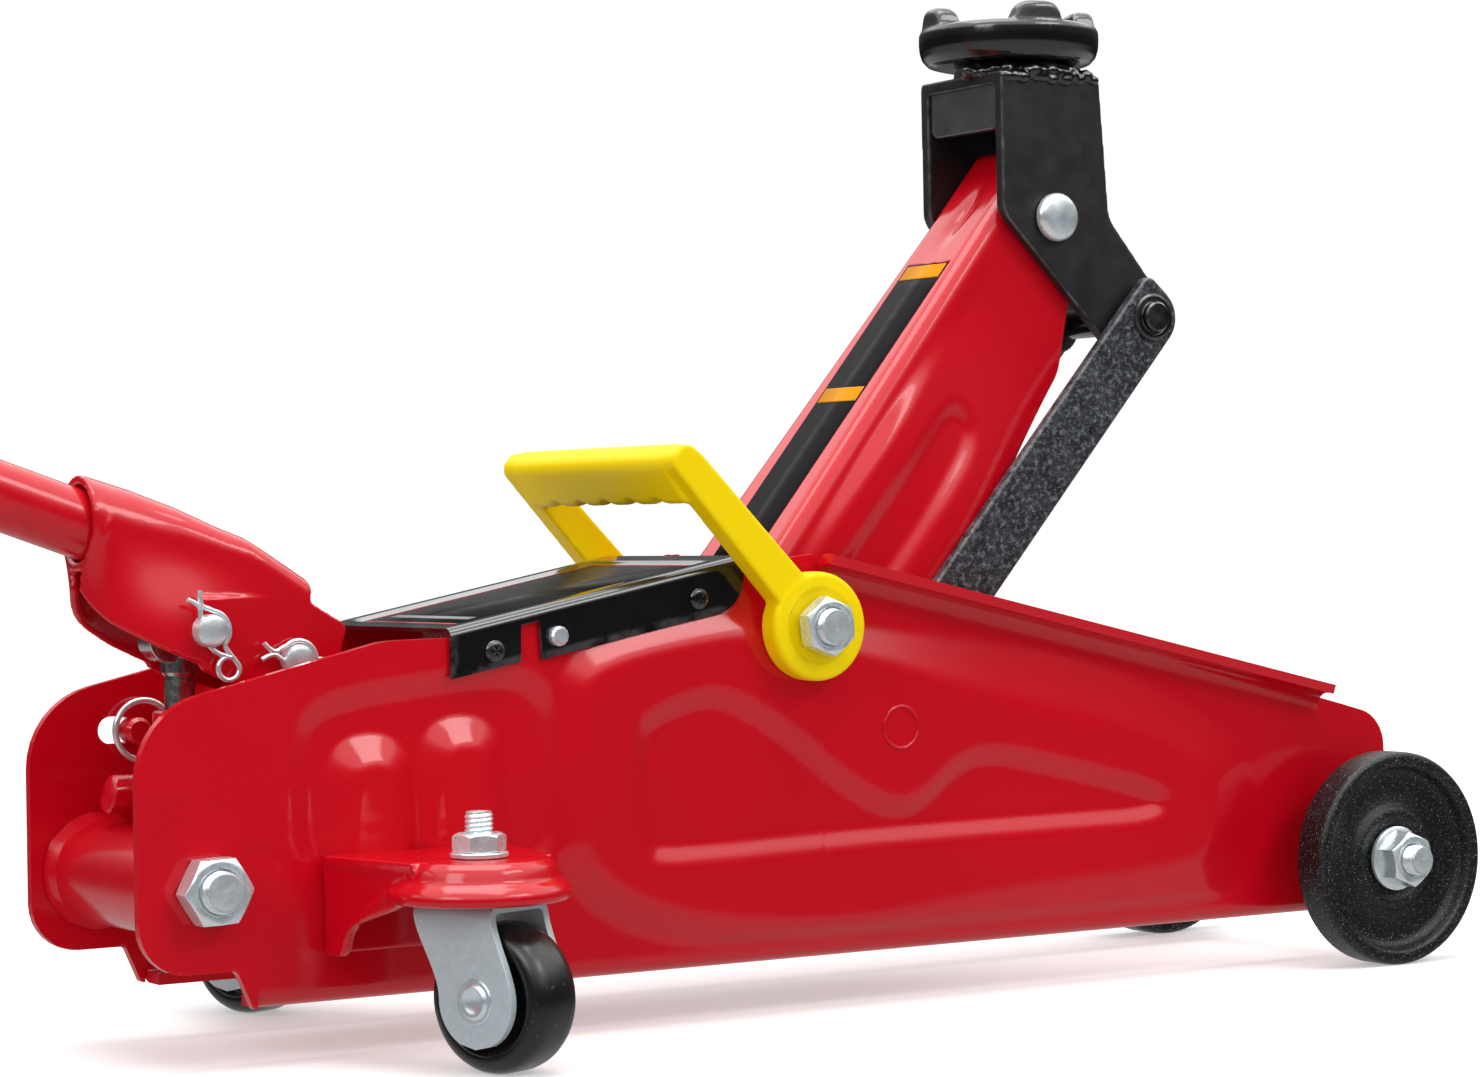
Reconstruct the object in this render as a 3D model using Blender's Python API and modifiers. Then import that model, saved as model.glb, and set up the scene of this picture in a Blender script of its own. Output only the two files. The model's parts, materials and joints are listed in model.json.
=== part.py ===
"""Compact trolley jack: a hydraulic floor jack with its lift arm raised.

Metres, +Z up, +X towards the front wheels, -Y is the right-hand side.
The places below are measured from the floor under the front axle, on the mid-plane.
At the end the whole jack is moved so that the origin lies on the floor, mid-width,
halfway between the front wheels and the handle's grip.
"""
import math

import bmesh
import bpy
from mathutils import Matrix, Vector

# ---- driving dimensions ----------------------------------------------------
GAP = 0.0003                      # running gap between neighbouring pieces
ROUND_STEPS = 24                  # facets round a large turned piece
SMALL_STEPS = 12                  # facets round a pin, stud or screw
BORE_STEPS = 14                   # facets round a hole for one of them

SHEET = 0.003                     # side plate thickness
PLATE_IN = 0.0373                 # side plate, inner face to the mid-plane
PLATE_OUT = PLATE_IN + SHEET
PANEL_OUT = 0.0432                # outer face of the pressed panels
PLATE_BOTTOM = 0.0164
FLANGE_IN = 0.0285                # inner edge of the plate's bottom flange
LIP_OUT = 0.049                   # outer edge of the lip along the plate's top

WHEEL_R = 0.035                   # front wheel
WHEEL_IN = 0.0541
WHEEL_OUT = 0.0667
AXLE_R = 0.005
AXLE_REACH = 0.077                # half-length of the front axle
TIE = (-0.412, 0.0501)            # rear tie rod, x and z
TIE_REACH = 0.0515                # half-length of the tie rod
TIE_TUBE_R = 0.015

ARM = (-0.2185, 0.117)            # lift arm pivot, x and z
ARM_LENGTH = 0.1707
ARM_ANGLE = math.radians(48.8)    # lift arm above horizontal, raised
LEVEL = (0.0344, -0.0318)         # from an arm pivot to its levelling link pivot
SHAFT_R = 0.006                   # lift shaft and rear tie rod
SHAFT_REACH = 0.061               # half-length of the lift shaft
ARM_HALF = 0.0244                 # half-width of the lift arm
ARM_TIP_HALF = 0.0176             # and of its tip, inside the saddle bracket
HEAD_IN = 0.0182                  # saddle bracket, inner face of its cheeks
HEAD_OUT = 0.0224
LINK_IN = 0.025                   # levelling links
LINK_OUT = 0.029
LINK_WIDTH = 0.0204
LINK_STUD_R = 0.006               # lower pivots of the links
LINK_PIN_R = 0.005                # the pin through their upper ends
HEAD_PIN_R = 0.006
SADDLE_R = 0.0294
SADDLE_Z = 0.2962

CRANK = 0.042                     # lift arm pivot to ram pin
CRANK_ANGLE = math.radians(-57.0)
RAM_Z = 0.079
RAM_R = 0.010
RAM_PIN_R = 0.005
CYLINDER_R = 0.020
BLOCK_FRONT = -0.336              # pump block, front and rear faces
BLOCK_REAR = -0.392
BLOCK_BOTTOM = 0.060
BLOCK_TOP = 0.098
CYLINDER_FRONT = -0.266

FULCRUM = (-0.3755, 0.1112)       # pump handle pivot
PLUNGER = (-0.402, 0.1202)        # pump plunger pin
PUMP_PIN_R = 0.0046
PLUNGER_R = 0.0044
HANDLE_TILT = math.radians(19.5)  # pump handle above horizontal
HANDLE_ENTRY = (-0.4287, 0.1493)  # a point on the handle's centreline
HANDLE_R = 0.0095
HANDLE_LENGTH = 0.440
HANDLE_INSERT = 0.017             # length of the handle inside its socket
GRIP_LENGTH = 0.115
GRIP_R = 0.0145
GRIP_ROUND = 0.004                # bevel of the grip's closed end

CASTER = (-0.350, 0.080)          # caster stud, x and distance from the mid-plane
CASTER_R = 0.0205
CASTER_TRAIL = 0.0082
CASTER_HALF = 0.009
CASTER_TURN = math.radians(-70.0)
BRACKET_TOP = 0.0578

CARRY_IN = 0.0436                 # carry handle, inner and outer faces of its arms
CARRY_OUT = 0.0522
COVER_SLOPE = 0.1948
COVER_SCREWS = (-0.3235, -0.2549)
COVER_SCREW_DROP = 0.0095         # screw centres below the cover's top
SPRING_PIN = (-0.303, 0.1163)
SPRING_PIN_R = 0.0029
SPRING_PIN_REACH = 0.044
SIDE_PIN = (-0.3985, 0.0903)
VALVE = (0.015, 0.0735)           # release valve, y and z
VALVE_R = 0.0055

PIVOT_B = (ARM[0] + ARM_LENGTH * math.cos(ARM_ANGLE),
           ARM[1] + ARM_LENGTH * math.sin(ARM_ANGLE))
PIVOT_C = (ARM[0] + LEVEL[0], ARM[1] + LEVEL[1])
PIVOT_D = (PIVOT_B[0] + LEVEL[0], PIVOT_B[1] + LEVEL[1])
RAM_PIN = (ARM[0] + CRANK * math.cos(CRANK_ANGLE), ARM[1] + CRANK * math.sin(CRANK_ANGLE))
GRIP_REACH = HANDLE_LENGTH - HANDLE_INSERT + GRIP_ROUND
GRIP_REAR = (HANDLE_ENTRY[0] - GRIP_REACH * math.cos(HANDLE_TILT)
             - (GRIP_R - GRIP_ROUND) * math.sin(HANDLE_TILT))
CENTRE_X = (GRIP_REAR + WHEEL_R) / 2.0

SIDES = {"right": -1.0, "left": 1.0}


# ---- scene, collections, materials -----------------------------------------
for old in list(bpy.data.objects):
    bpy.data.objects.remove(old, do_unlink=True)

PARTS = bpy.data.collections.new("floor_jack")
CUTTERS = bpy.data.collections.new("cutters")
for group in (PARTS, CUTTERS):
    bpy.context.scene.collection.children.link(group)


def principled(name, colour, roughness, metallic=0.0):
    """A plain Principled material."""
    material = bpy.data.materials.new(name)
    material.use_nodes = True
    shader = material.node_tree.nodes["Principled BSDF"]
    shader.inputs["Base Color"].default_value = (*colour, 1.0)
    shader.inputs["Roughness"].default_value = roughness
    shader.inputs["Metallic"].default_value = metallic
    return material


RED = principled("red_paint", (0.62, 0.01, 0.02), 0.25)
BLACK = principled("black_paint", (0.02, 0.02, 0.022), 0.35)
CAST = principled("black_cast", (0.03, 0.03, 0.032), 0.55)
ZINC = principled("zinc_plate", (0.75, 0.78, 0.82), 0.3, 1.0)
STEEL = principled("bright_steel", (0.6, 0.6, 0.62), 0.25, 1.0)
YELLOW = principled("yellow_plastic", (0.95, 0.75, 0.0), 0.4)
RUBBER = principled("black_rubber", (0.02, 0.02, 0.02), 0.8)
TYRE = principled("black_wheel", (0.025, 0.025, 0.025), 0.45)


# ---- builders --------------------------------------------------------------
def link(mesh, name, material, matrix=None):
    """Puts a mesh into the jack as a named, smooth-shaded object."""
    piece = bpy.data.objects.new(name, mesh)
    PARTS.objects.link(piece)
    if matrix is not None:
        piece.matrix_world = matrix
    if material is not None:
        mesh.materials.append(material)
    mesh.shade_smooth()
    mesh.set_sharp_from_angle(angle=math.radians(35.0))
    return piece


def as_tool(piece):
    """Makes an object a hidden cutter or guide."""
    PARTS.objects.unlink(piece)
    CUTTERS.objects.link(piece)
    piece.hide_render = True
    piece.display_type = "WIRE"
    return piece


def join(piece, *tools, operation="UNION"):
    """Adds or removes the tools' shapes with Boolean modifiers."""
    for tool in tools:
        modifier = piece.modifiers.new(operation.lower(), "BOOLEAN")
        modifier.operation = operation
        modifier.solver = "EXACT"
        modifier.object = as_tool(tool)
    return piece


def cut(piece, *tools):
    return join(piece, *tools, operation="DIFFERENCE")


def set_origin(piece, point):
    """Moves an unrotated object's origin without moving its shape."""
    shift = Vector(point) - piece.location
    piece.data.transform(Matrix.Translation(-shift))
    piece.location = Vector(point)
    return piece


def aim(point, direction):
    """A matrix whose Z axis points along direction from point."""
    turn = Vector(direction).to_track_quat("Z", "Y").to_matrix().to_4x4()
    return Matrix.Translation(Vector(point)) @ turn


def turned(name, profile, point, direction, material=None, steps=ROUND_STEPS, closed=False):
    """Revolves (radius, height) points, listed down the outer side, about an axis."""
    mesh = bpy.data.meshes.new(name)
    points = [(radius, 0.0, height) for radius, height in profile]
    edges = [(i, i + 1) for i in range(len(points) - 1)]
    if closed:
        edges.append((len(points) - 1, 0))
    mesh.from_pydata(points, edges, [])
    piece = link(mesh, name, material, aim(point, direction))
    screw = piece.modifiers.new("turn", "SCREW")
    screw.steps = steps
    screw.render_steps = steps
    screw.use_merge_vertices = True
    screw.merge_threshold = 0.00001
    screw.use_smooth_shade = True
    return piece


def rod(name, radius, start, end, material=None, steps=SMALL_STEPS, chamfer=0.0):
    """A solid round bar between two points, its ends chamfered."""
    start, end = Vector(start), Vector(end)
    length = (end - start).length
    profile = [(0.0, length), (radius - chamfer, length), (radius, length - chamfer),
               (radius, chamfer), (radius - chamfer, 0.0), (0.0, 0.0)]
    if chamfer == 0.0:
        profile = [(0.0, length), (radius, length), (radius, 0.0), (0.0, 0.0)]
    return turned(name, profile, start, end - start, material, steps)


def cross_rod(name, radius, place, y0, y1, material=None, steps=SMALL_STEPS, chamfer=0.0):
    """A round bar along Y through an (x, z) place."""
    x, z = place
    return rod(name, radius, (x, y0, z), (x, y1, z), material, steps, chamfer)


def bore(name, radius, start, end, steps=BORE_STEPS):
    """A cutter for a round hole between two points."""
    return rod(name, radius, start, end, steps=steps)


def cross_bore(name, radius, place, y0, y1, steps=BORE_STEPS):
    """A cutter for a round hole along Y through an (x, z) place."""
    return cross_rod(name, radius, place, y0, y1, steps=steps)


def tube(name, outer, inner, start, end, material=None, steps=ROUND_STEPS):
    """A round tube between two points."""
    start, end = Vector(start), Vector(end)
    length = (end - start).length
    profile = [(inner, length), (outer, length), (outer, 0.0), (inner, 0.0)]
    return turned(name, profile, start, end - start, material, steps, closed=True)


def box(name, low, high, material=None):
    """A block between two corners."""
    bm = bmesh.new()
    bmesh.ops.create_cube(bm, size=1.0)
    size = Vector(high) - Vector(low)
    middle = (Vector(high) + Vector(low)) / 2.0
    bmesh.ops.scale(bm, vec=size, verts=bm.verts)
    bmesh.ops.translate(bm, vec=middle, verts=bm.verts)
    mesh = bpy.data.meshes.new(name)
    bm.to_mesh(mesh)
    bm.free()
    return link(mesh, name, material)


def rounded(corners, arc_steps=3):
    """An outline from (u, v, radius) corners, each corner replaced by an arc."""
    outline = []
    count = len(corners)
    for i, (u, v, radius) in enumerate(corners):
        corner = Vector((u, v))
        if radius == 0.0:
            outline.append(corner)
            continue
        before = (Vector(corners[i - 1][:2]) - corner).normalized()
        after = (Vector(corners[(i + 1) % count][:2]) - corner).normalized()
        half = before.angle(after) / 2.0
        reach = radius / math.tan(half)
        centre = corner + (before + after).normalized() * radius / math.sin(half)
        first = corner + before * reach - centre
        sweep = first.angle_signed(corner + after * reach - centre)
        for step in range(arc_steps + 1):
            turn = Matrix.Rotation(-sweep * step / arc_steps, 2)
            outline.append(centre + turn @ first)
    return outline


PLANES = {"XZ": Matrix.Rotation(math.pi / 2.0, 4, "X"),
          "XY": Matrix.Identity(4),
          "YZ": Matrix(((0, 0, 1, 0), (1, 0, 0, 0), (0, 1, 0, 0), (0, 0, 0, 1)))}


def prism(name, outline, low, high, plane="XZ", material=None):
    """A flat outline given a thickness from low to high along the third axis."""
    curve = bpy.data.curves.new(name, "CURVE")
    curve.dimensions = "2D"
    curve.fill_mode = "BOTH"
    curve.extrude = (high - low) / 2.0
    spline = curve.splines.new("POLY")
    spline.points.add(len(outline) - 1)
    for point, place in zip(spline.points, outline):
        point.co = (place[0], place[1], 0.0, 1.0)
    spline.use_cyclic_u = True
    flat = bpy.data.objects.new(name, curve)
    bpy.context.scene.collection.objects.link(flat)
    middle = (low + high) / 2.0
    offset = {"XZ": (0.0, middle, 0.0), "XY": (0.0, 0.0, middle), "YZ": (middle, 0.0, 0.0)}[plane]
    flat.matrix_world = Matrix.Translation(offset) @ PLANES[plane]
    piece = solid_from_curve(flat, name, material)
    piece.data.transform(piece.matrix_world)
    piece.matrix_world = Matrix.Identity(4)
    return piece


def solid_from_curve(source, name, material):
    """Turns a curve object into a welded mesh object at the same place."""
    bpy.context.view_layer.update()
    evaluated = source.evaluated_get(bpy.context.evaluated_depsgraph_get())
    mesh = bpy.data.meshes.new_from_object(evaluated)
    bm = bmesh.new()
    bm.from_mesh(mesh)
    bmesh.ops.remove_doubles(bm, verts=bm.verts, dist=0.000001)
    bmesh.ops.recalc_face_normals(bm, faces=bm.faces)
    bm.to_mesh(mesh)
    bm.free()
    mesh.materials.clear()
    matrix = source.matrix_world.copy()
    bpy.data.objects.remove(source, do_unlink=True)
    return link(mesh, name, material, matrix)


def wire(name, points, radius, material, closed=False, resolution=2):
    """A bent round wire through points."""
    curve = bpy.data.curves.new(name, "CURVE")
    curve.dimensions = "3D"
    curve.bevel_depth = radius
    curve.bevel_resolution = resolution
    curve.use_fill_caps = not closed
    spline = curve.splines.new("POLY")
    spline.points.add(len(points) - 1)
    for point, place in zip(spline.points, points):
        point.co = (*place, 1.0)
    spline.use_cyclic_u = closed
    bent = bpy.data.objects.new(name, curve)
    bpy.context.scene.collection.objects.link(bent)
    return solid_from_curve(bent, name, material)


def span(side, near, far):
    """Low and high Y of a piece that reaches from near to far off the mid-plane."""
    return (near, far) if side > 0.0 else (-far, -near)


def hex_nut(name, place, side, near, far, across, hole, material=ZINC, flange=0.0):
    """A hexagon nut along Y, with an optional round washer face at its base."""
    x, z = place
    low, high = span(side, near, far)
    corner = across / math.sqrt(3.0)
    angles = [math.radians(60 * i + 4) for i in range(6)]
    outline = [(x + corner * math.cos(angle), z + corner * math.sin(angle)) for angle in angles]
    nut = prism(name, outline, low, high, "XZ", material)
    if flange > 0.0:
        washer = span(side, near - 0.0004, near + 0.0017)
        join(nut, cross_rod(name + "_washer", flange, place, *washer, steps=20))
    cut(nut, cross_bore(name + "_bore", hole, place, low - 0.002, high + 0.002))
    return nut


# ---- chassis ---------------------------------------------------------------
def cover_top(x):
    """Height of the cover's top face."""
    return 0.1212 + COVER_SLOPE * (x + 0.328)


def lip_top(x):
    """Height of the lip along the top of the side plates."""
    return 0.1389 - 0.232 * (x + 0.213)


PLATE_CORNERS = [
    (-0.4325, 0.0274, 0.014), (-0.4325, 0.0990, 0.024), (-0.3580, 0.1164, 0.030),
    (-0.3370, 0.1168, 0.010), (-0.2350, 0.1362, 0.010), (-0.2130, 0.1386, 0.006),
    (-0.0200, 0.0935, 0.0), (-0.0188, 0.0893, 0.0), (0.0167, 0.0807, 0.014),
    (0.0167, PLATE_BOTTOM, 0.012), (-0.3990, PLATE_BOTTOM, 0.003), (-0.4020, 0.0260, 0.004)]
PANEL_CORNERS = [
    (-0.2990, 0.0255, 0.012), (-0.2990, 0.1120, 0.014), (-0.2370, 0.1195, 0.020),
    (-0.0495, 0.0745, 0.015), (-0.0485, 0.0255, 0.022)]
WINDOW_CORNERS = [
    (-0.2760, 0.0510, 0.006), (-0.2760, 0.0930, 0.008), (-0.2480, 0.0985, 0.008),
    (-0.1970, 0.0610, 0.018), (-0.1740, 0.0640, 0.010), (-0.1560, 0.0780, 0.012),
    (-0.0790, 0.0620, 0.004), (-0.0880, 0.0525, 0.006)]


def side_plate(side_name):
    """A pressed side plate: web, inward bottom flange, outward top lip and raised panels."""
    side = SIDES[side_name]
    name = "side_plate_" + side_name
    plate = prism(name, rounded(PLATE_CORNERS), *span(side, PLATE_IN, PLATE_OUT), "XZ", RED)
    flange = box(name + "_flange",
                 (-0.3975, span(side, FLANGE_IN, PLATE_IN + 0.001)[0], PLATE_BOTTOM + 0.0002),
                 (0.0040, span(side, FLANGE_IN, PLATE_IN + 0.001)[1], PLATE_BOTTOM + SHEET))
    lip_outline = [(-0.2130, lip_top(-0.2130)), (-0.0125, lip_top(-0.0125)),
                   (-0.0125, lip_top(-0.0125) - 0.0026), (-0.2130, lip_top(-0.2130) - 0.0026)]
    lip = prism(name + "_lip", lip_outline, *span(side, PLATE_IN + 0.001, LIP_OUT))
    panel = prism(name + "_panel", rounded(PANEL_CORNERS), *span(side, PLATE_IN + 0.001, PANEL_OUT))
    join(plate, flange, lip, panel)
    for rib_x in (-0.3628, -0.3338):
        rib_corners = [(rib_x - 0.009, 0.0600, 0.0), (rib_x - 0.009, 0.0885, 0.0088),
                       (rib_x + 0.009, 0.0885, 0.0088), (rib_x + 0.009, 0.0600, 0.0)]
        join(plate, prism(name + "_rib", rounded(rib_corners), *span(side, PLATE_IN + 0.001, PANEL_OUT)))
    middle = Vector((-0.175, 0.065))
    pocket = [middle + (point - middle) * 0.88 for point in rounded(PANEL_CORNERS)]
    cut(plate, prism(name + "_pocket", pocket, *span(side, PLATE_IN - 0.002, PANEL_OUT - 0.0042)))
    cut(plate, prism(name + "_window", rounded(WINDOW_CORNERS), *span(side, PANEL_OUT - 0.0018, 0.05)))
    reach = span(side, 0.030, 0.052)
    for place, radius in (((0.0, WHEEL_R), AXLE_R), (TIE, SHAFT_R), (ARM, SHAFT_R), (SPRING_PIN, SPRING_PIN_R)):
        cut(plate, cross_bore(name + "_hole", radius + GAP, place, *reach))
    for screw_x in COVER_SCREWS:
        place = (screw_x, cover_top(screw_x) - COVER_SCREW_DROP)
        cut(plate, cross_bore(name + "_screw_hole", 0.0020, place, *reach))
    if side > 0.0:
        slot = [(-0.4115, 0.0865, 0.0038), (-0.4115, 0.0945, 0.0038),
                (-0.4005, 0.0945, 0.0038), (-0.4005, 0.0865, 0.0038)]
        cut(plate, prism(name + "_slot", rounded(slot), 0.030, 0.052))
    set_origin(plate, (0.0, side * PLATE_OUT, WHEEL_R))


def cover():
    """The folded sheet cover over the pump, with a skirt outside each side plate."""
    sheet = 0.0012
    skirt_in = PLATE_OUT + GAP
    skirt_out = skirt_in + sheet
    ends = (-0.3375, -0.2400)
    strip = [(x, cover_top(x)) for x in ends] + [(x, cover_top(x) - sheet) for x in reversed(ends)]
    top = prism("cover_plate", strip, -skirt_out + 0.0001, skirt_out - 0.0001, "XZ", BLACK)
    for side_name, side in SIDES.items():
        main = [(-0.3080, cover_top(-0.3080) - 0.0152, 0.002), (-0.3080, cover_top(-0.3080) - 0.0004, 0.0),
                (-0.2390, cover_top(-0.2390) - 0.0004, 0.004), (-0.2390, cover_top(-0.2390) - 0.0152, 0.009)]
        tab = [(-0.3370, cover_top(-0.3370) - 0.0142, 0.001), (-0.3370, cover_top(-0.3370) - 0.0004, 0.0),
               (-0.3150, cover_top(-0.3150) - 0.0004, 0.0), (-0.3150, cover_top(-0.3150) - 0.0142, 0.001)]
        for corners in (main, tab):
            skirt = prism("cover_skirt", rounded(corners), *span(side, skirt_in, skirt_out))
            join(top, skirt)
    cut(top, cross_bore("cover_pin_hole", 0.0040, SPRING_PIN, -0.05, 0.05))
    number = 0
    for screw_x in COVER_SCREWS:
        place = (screw_x, cover_top(screw_x) - COVER_SCREW_DROP)
        cut(top, cross_bore("cover_screw_hole", 0.0020, place, -0.05, 0.05))
        for side in SIDES.values():
            number += 1
            start = (place[0], side * (PLATE_IN - 0.002), place[1])
            height = skirt_out + 0.0002 - (PLATE_IN - 0.002)
            profile = [(0.0, height + 0.0010), (0.0028, height + 0.0009), (0.0036, height + 0.0003),
                       (0.0036, height), (0.0017, height), (0.0017, 0.0), (0.0, 0.0)]
            turned("cover_screw_%d" % number, profile, start, (0, side, 0), BLACK, SMALL_STEPS)
    set_origin(top, (ends[0], 0.0, cover_top(ends[0])))


def cross_members():
    """Tie tube and rod, front axle, lift shaft, spring pin, and their nuts."""
    inner = PLATE_IN - GAP
    tube("rear_tie_tube", TIE_TUBE_R, TIE_TUBE_R - 0.0025, (TIE[0], -inner, TIE[1]), (TIE[0], inner, TIE[1]), RED)
    cross_rod("rear_tie_rod", SHAFT_R, TIE, -TIE_REACH, TIE_REACH, ZINC, SMALL_STEPS, 0.0008)
    cross_rod("front_axle", AXLE_R, (0.0, WHEEL_R), -AXLE_REACH, AXLE_REACH, ZINC, SMALL_STEPS, 0.0008)
    cross_rod("lift_shaft", SHAFT_R, ARM, -SHAFT_REACH, SHAFT_REACH, ZINC, SMALL_STEPS, 0.0008)
    cross_rod("spring_pin", SPRING_PIN_R, SPRING_PIN, -SPRING_PIN_REACH, SPRING_PIN_REACH, ZINC,
              SMALL_STEPS, 0.0006)
    for side_name, side in SIDES.items():
        hex_nut("rear_nut_" + side_name, TIE, side, PLATE_OUT + GAP, 0.0485, 0.019, SHAFT_R + GAP)
        hex_nut("axle_nut_" + side_name, (0.0, WHEEL_R), side, 0.0636, 0.0725, 0.016,
                AXLE_R + GAP, flange=0.0105)
        hex_nut("shaft_nut_" + side_name, ARM, side, CARRY_OUT + GAP, 0.0585, 0.018, SHAFT_R + GAP)
        cross_rod("link_stud_" + side_name, LINK_STUD_R, PIVOT_C,
                  side * (LINK_IN - 0.0003), side * (PLATE_IN - GAP), ZINC, SMALL_STEPS)


def side_pin():
    """A short locating pin on the left plate with a wire ring round it."""
    x, z = SIDE_PIN
    rod("side_pin", 0.0036, (x, 0.0290, z), (x, PLATE_IN - GAP, z), RED, SMALL_STEPS, 0.0008)
    ring_r = 0.0088
    points = [(x + ring_r * math.cos(math.tau * i / 24), 0.0345, z + ring_r * math.sin(math.tau * i / 24))
              for i in range(24)]
    wire("side_pin_ring", points, 0.0009, ZINC, closed=True)


# ---- pump and ram ----------------------------------------------------------
def hydraulics():
    """Pump block, plunger, release valve, cylinder, gland nut, filler plug and ram."""
    block = box("pump_block", (BLOCK_REAR, -0.025, BLOCK_BOTTOM), (BLOCK_FRONT, 0.025, BLOCK_TOP), RED)
    join(block, rod("plunger_boss", 0.0080, (PLUNGER[0], 0.0, 0.0700), (PLUNGER[0], 0.0, BLOCK_TOP - 0.0005)))
    join(block, box("boss_web", (PLUNGER[0] - 0.0012, -0.0060, 0.0712), (BLOCK_REAR + 0.001, 0.0060, BLOCK_TOP - 0.0015)))
    ear = [(FULCRUM[0] - 0.008, 0.0970, 0.0), (FULCRUM[0] - 0.008, FULCRUM[1] + 0.008, 0.006),
           (FULCRUM[0] + 0.008, FULCRUM[1] + 0.008, 0.006), (FULCRUM[0] + 0.008, 0.0970, 0.0)]
    join(block, prism("fulcrum_ear", rounded(ear), -0.014, 0.014))
    cut(block, cross_bore("fulcrum_bore", PUMP_PIN_R + GAP, FULCRUM, -0.02, 0.02))
    cut(block, bore("plunger_bore", PLUNGER_R + 0.0004, (PLUNGER[0], 0.0, 0.0750), (PLUNGER[0], 0.0, 0.1000)))
    y, z = VALVE
    cut(block, bore("valve_bore", VALVE_R + GAP, (-0.3800, y, z), (-0.4200, y, z)))
    cut(block, bore("plug_bore", 0.0040, (-0.3500, 0.0, 0.0900), (-0.3500, 0.0, 0.1000)))
    set_origin(block, (BLOCK_FRONT, 0.0, RAM_Z))

    plug = [(0.0, 0.0060), (0.0055, 0.0060), (0.0060, 0.0055), (0.0060, 0.0), (0.0037, 0.0),
            (0.0037, -0.0070), (0.0, -0.0070)]
    turned("filler_plug", plug, (-0.3500, 0.0, BLOCK_TOP + GAP), (0, 0, 1), RUBBER, SMALL_STEPS)

    front = CYLINDER_FRONT
    tube("ram_cylinder", CYLINDER_R, 0.0125, (BLOCK_FRONT + GAP, 0.0, RAM_Z), (front, 0.0, RAM_Z), RED)
    tube("gland_nut", 0.0165, RAM_R + GAP, (front + GAP, 0.0, RAM_Z), (front + 0.0055, 0.0, RAM_Z), STEEL)

    head_x = RAM_PIN[0]
    ram = rod("ram", RAM_R, (-0.2850, 0.0, RAM_Z), (head_x - 0.009, 0.0, RAM_Z), STEEL, ROUND_STEPS)
    join(ram, box("ram_eye", (head_x - 0.0105, -0.009, RAM_Z - 0.0130),
                  (head_x + 0.0095, 0.009, RAM_Z + 0.0130)))
    slot = [(head_x - 0.0062, RAM_Z - 0.0095, 0.006), (head_x - 0.0062, RAM_Z + 0.0095, 0.006),
            (head_x + 0.0062, RAM_Z + 0.0095, 0.006), (head_x + 0.0062, RAM_Z - 0.0095, 0.006)]
    cut(ram, prism("ram_slot", rounded(slot), -0.012, 0.012))

    px, pz = PLUNGER
    plunger = rod("pump_plunger", PLUNGER_R, (px, 0.0, 0.0800), (px, 0.0, pz - 0.0077), STEEL)
    eye = [(px - 0.0115, pz - 0.0092, 0.0037), (px - 0.0115, pz + 0.0092, 0.0037),
           (px + 0.0165, pz + 0.0092, 0.0037), (px + 0.0165, pz - 0.0092, 0.0037)]
    join(plunger, prism("plunger_eye", rounded(eye), -0.006, 0.006))
    eye_slot = [(px - 0.0075, pz - 0.0062, 0.004), (px - 0.0075, pz + 0.0062, 0.004),
                (px + 0.0135, pz + 0.0062, 0.004), (px + 0.0135, pz - 0.0062, 0.004)]
    cut(plunger, prism("plunger_slot", rounded(eye_slot), -0.009, 0.009))

    valve = rod("release_valve", VALVE_R, (-0.3830, y, z), (-0.4190, y, z), RED, SMALL_STEPS, 0.0010)
    cut(valve, box("valve_slot", (-0.4200, y - 0.0012, z - 0.008), (-0.4120, y + 0.0012, z + 0.008)))
    cross_rod("fulcrum_pin", PUMP_PIN_R, FULCRUM, -0.0240, 0.0240, ZINC, SMALL_STEPS, 0.0008)


def return_spring():
    """Coil spring that pulls the ram pin back, hooked on the spring pin and the ram pin."""
    y = 0.0145
    start = Vector((SPRING_PIN[0], y, SPRING_PIN[1]))
    end = Vector((RAM_PIN[0], y, RAM_PIN[1]))
    along = (end - start).normalized()
    side = Vector((0.0, 1.0, 0.0))
    up = side.cross(along)
    length = (end - start).length
    coil_r = 0.0027
    coils = 12
    lead = 0.012
    points = []
    for step in range(9):
        angle = math.radians(-60 + 30 * step)
        points.append(start - (along * math.cos(angle) + up * math.sin(angle)) * 0.0044)
    for step in range(coils * 6 + 1):
        angle = math.tau * step / 6
        reach = lead + (length - 2.0 * lead) * step / (coils * 6)
        points.append(start + along * reach + (side * math.cos(angle) + up * math.sin(angle)) * coil_r)
    for step in range(9):
        angle = math.radians(180 + 30 * step)
        points.append(end - (along * math.cos(angle + math.pi) + up * math.sin(angle + math.pi)) * 0.0065)
    wire("return_spring", points, 0.0007, ZINC, resolution=0)


# ---- lift arm, saddle bracket, links ---------------------------------------
def on_arm(along, above):
    """The (x, z) of a point along the lift arm from its pivot, and above its axis."""
    cosine, sine = math.cos(ARM_ANGLE), math.sin(ARM_ANGLE)
    return (ARM[0] + along * cosine - above * sine, ARM[1] + along * sine + above * cosine)


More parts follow.
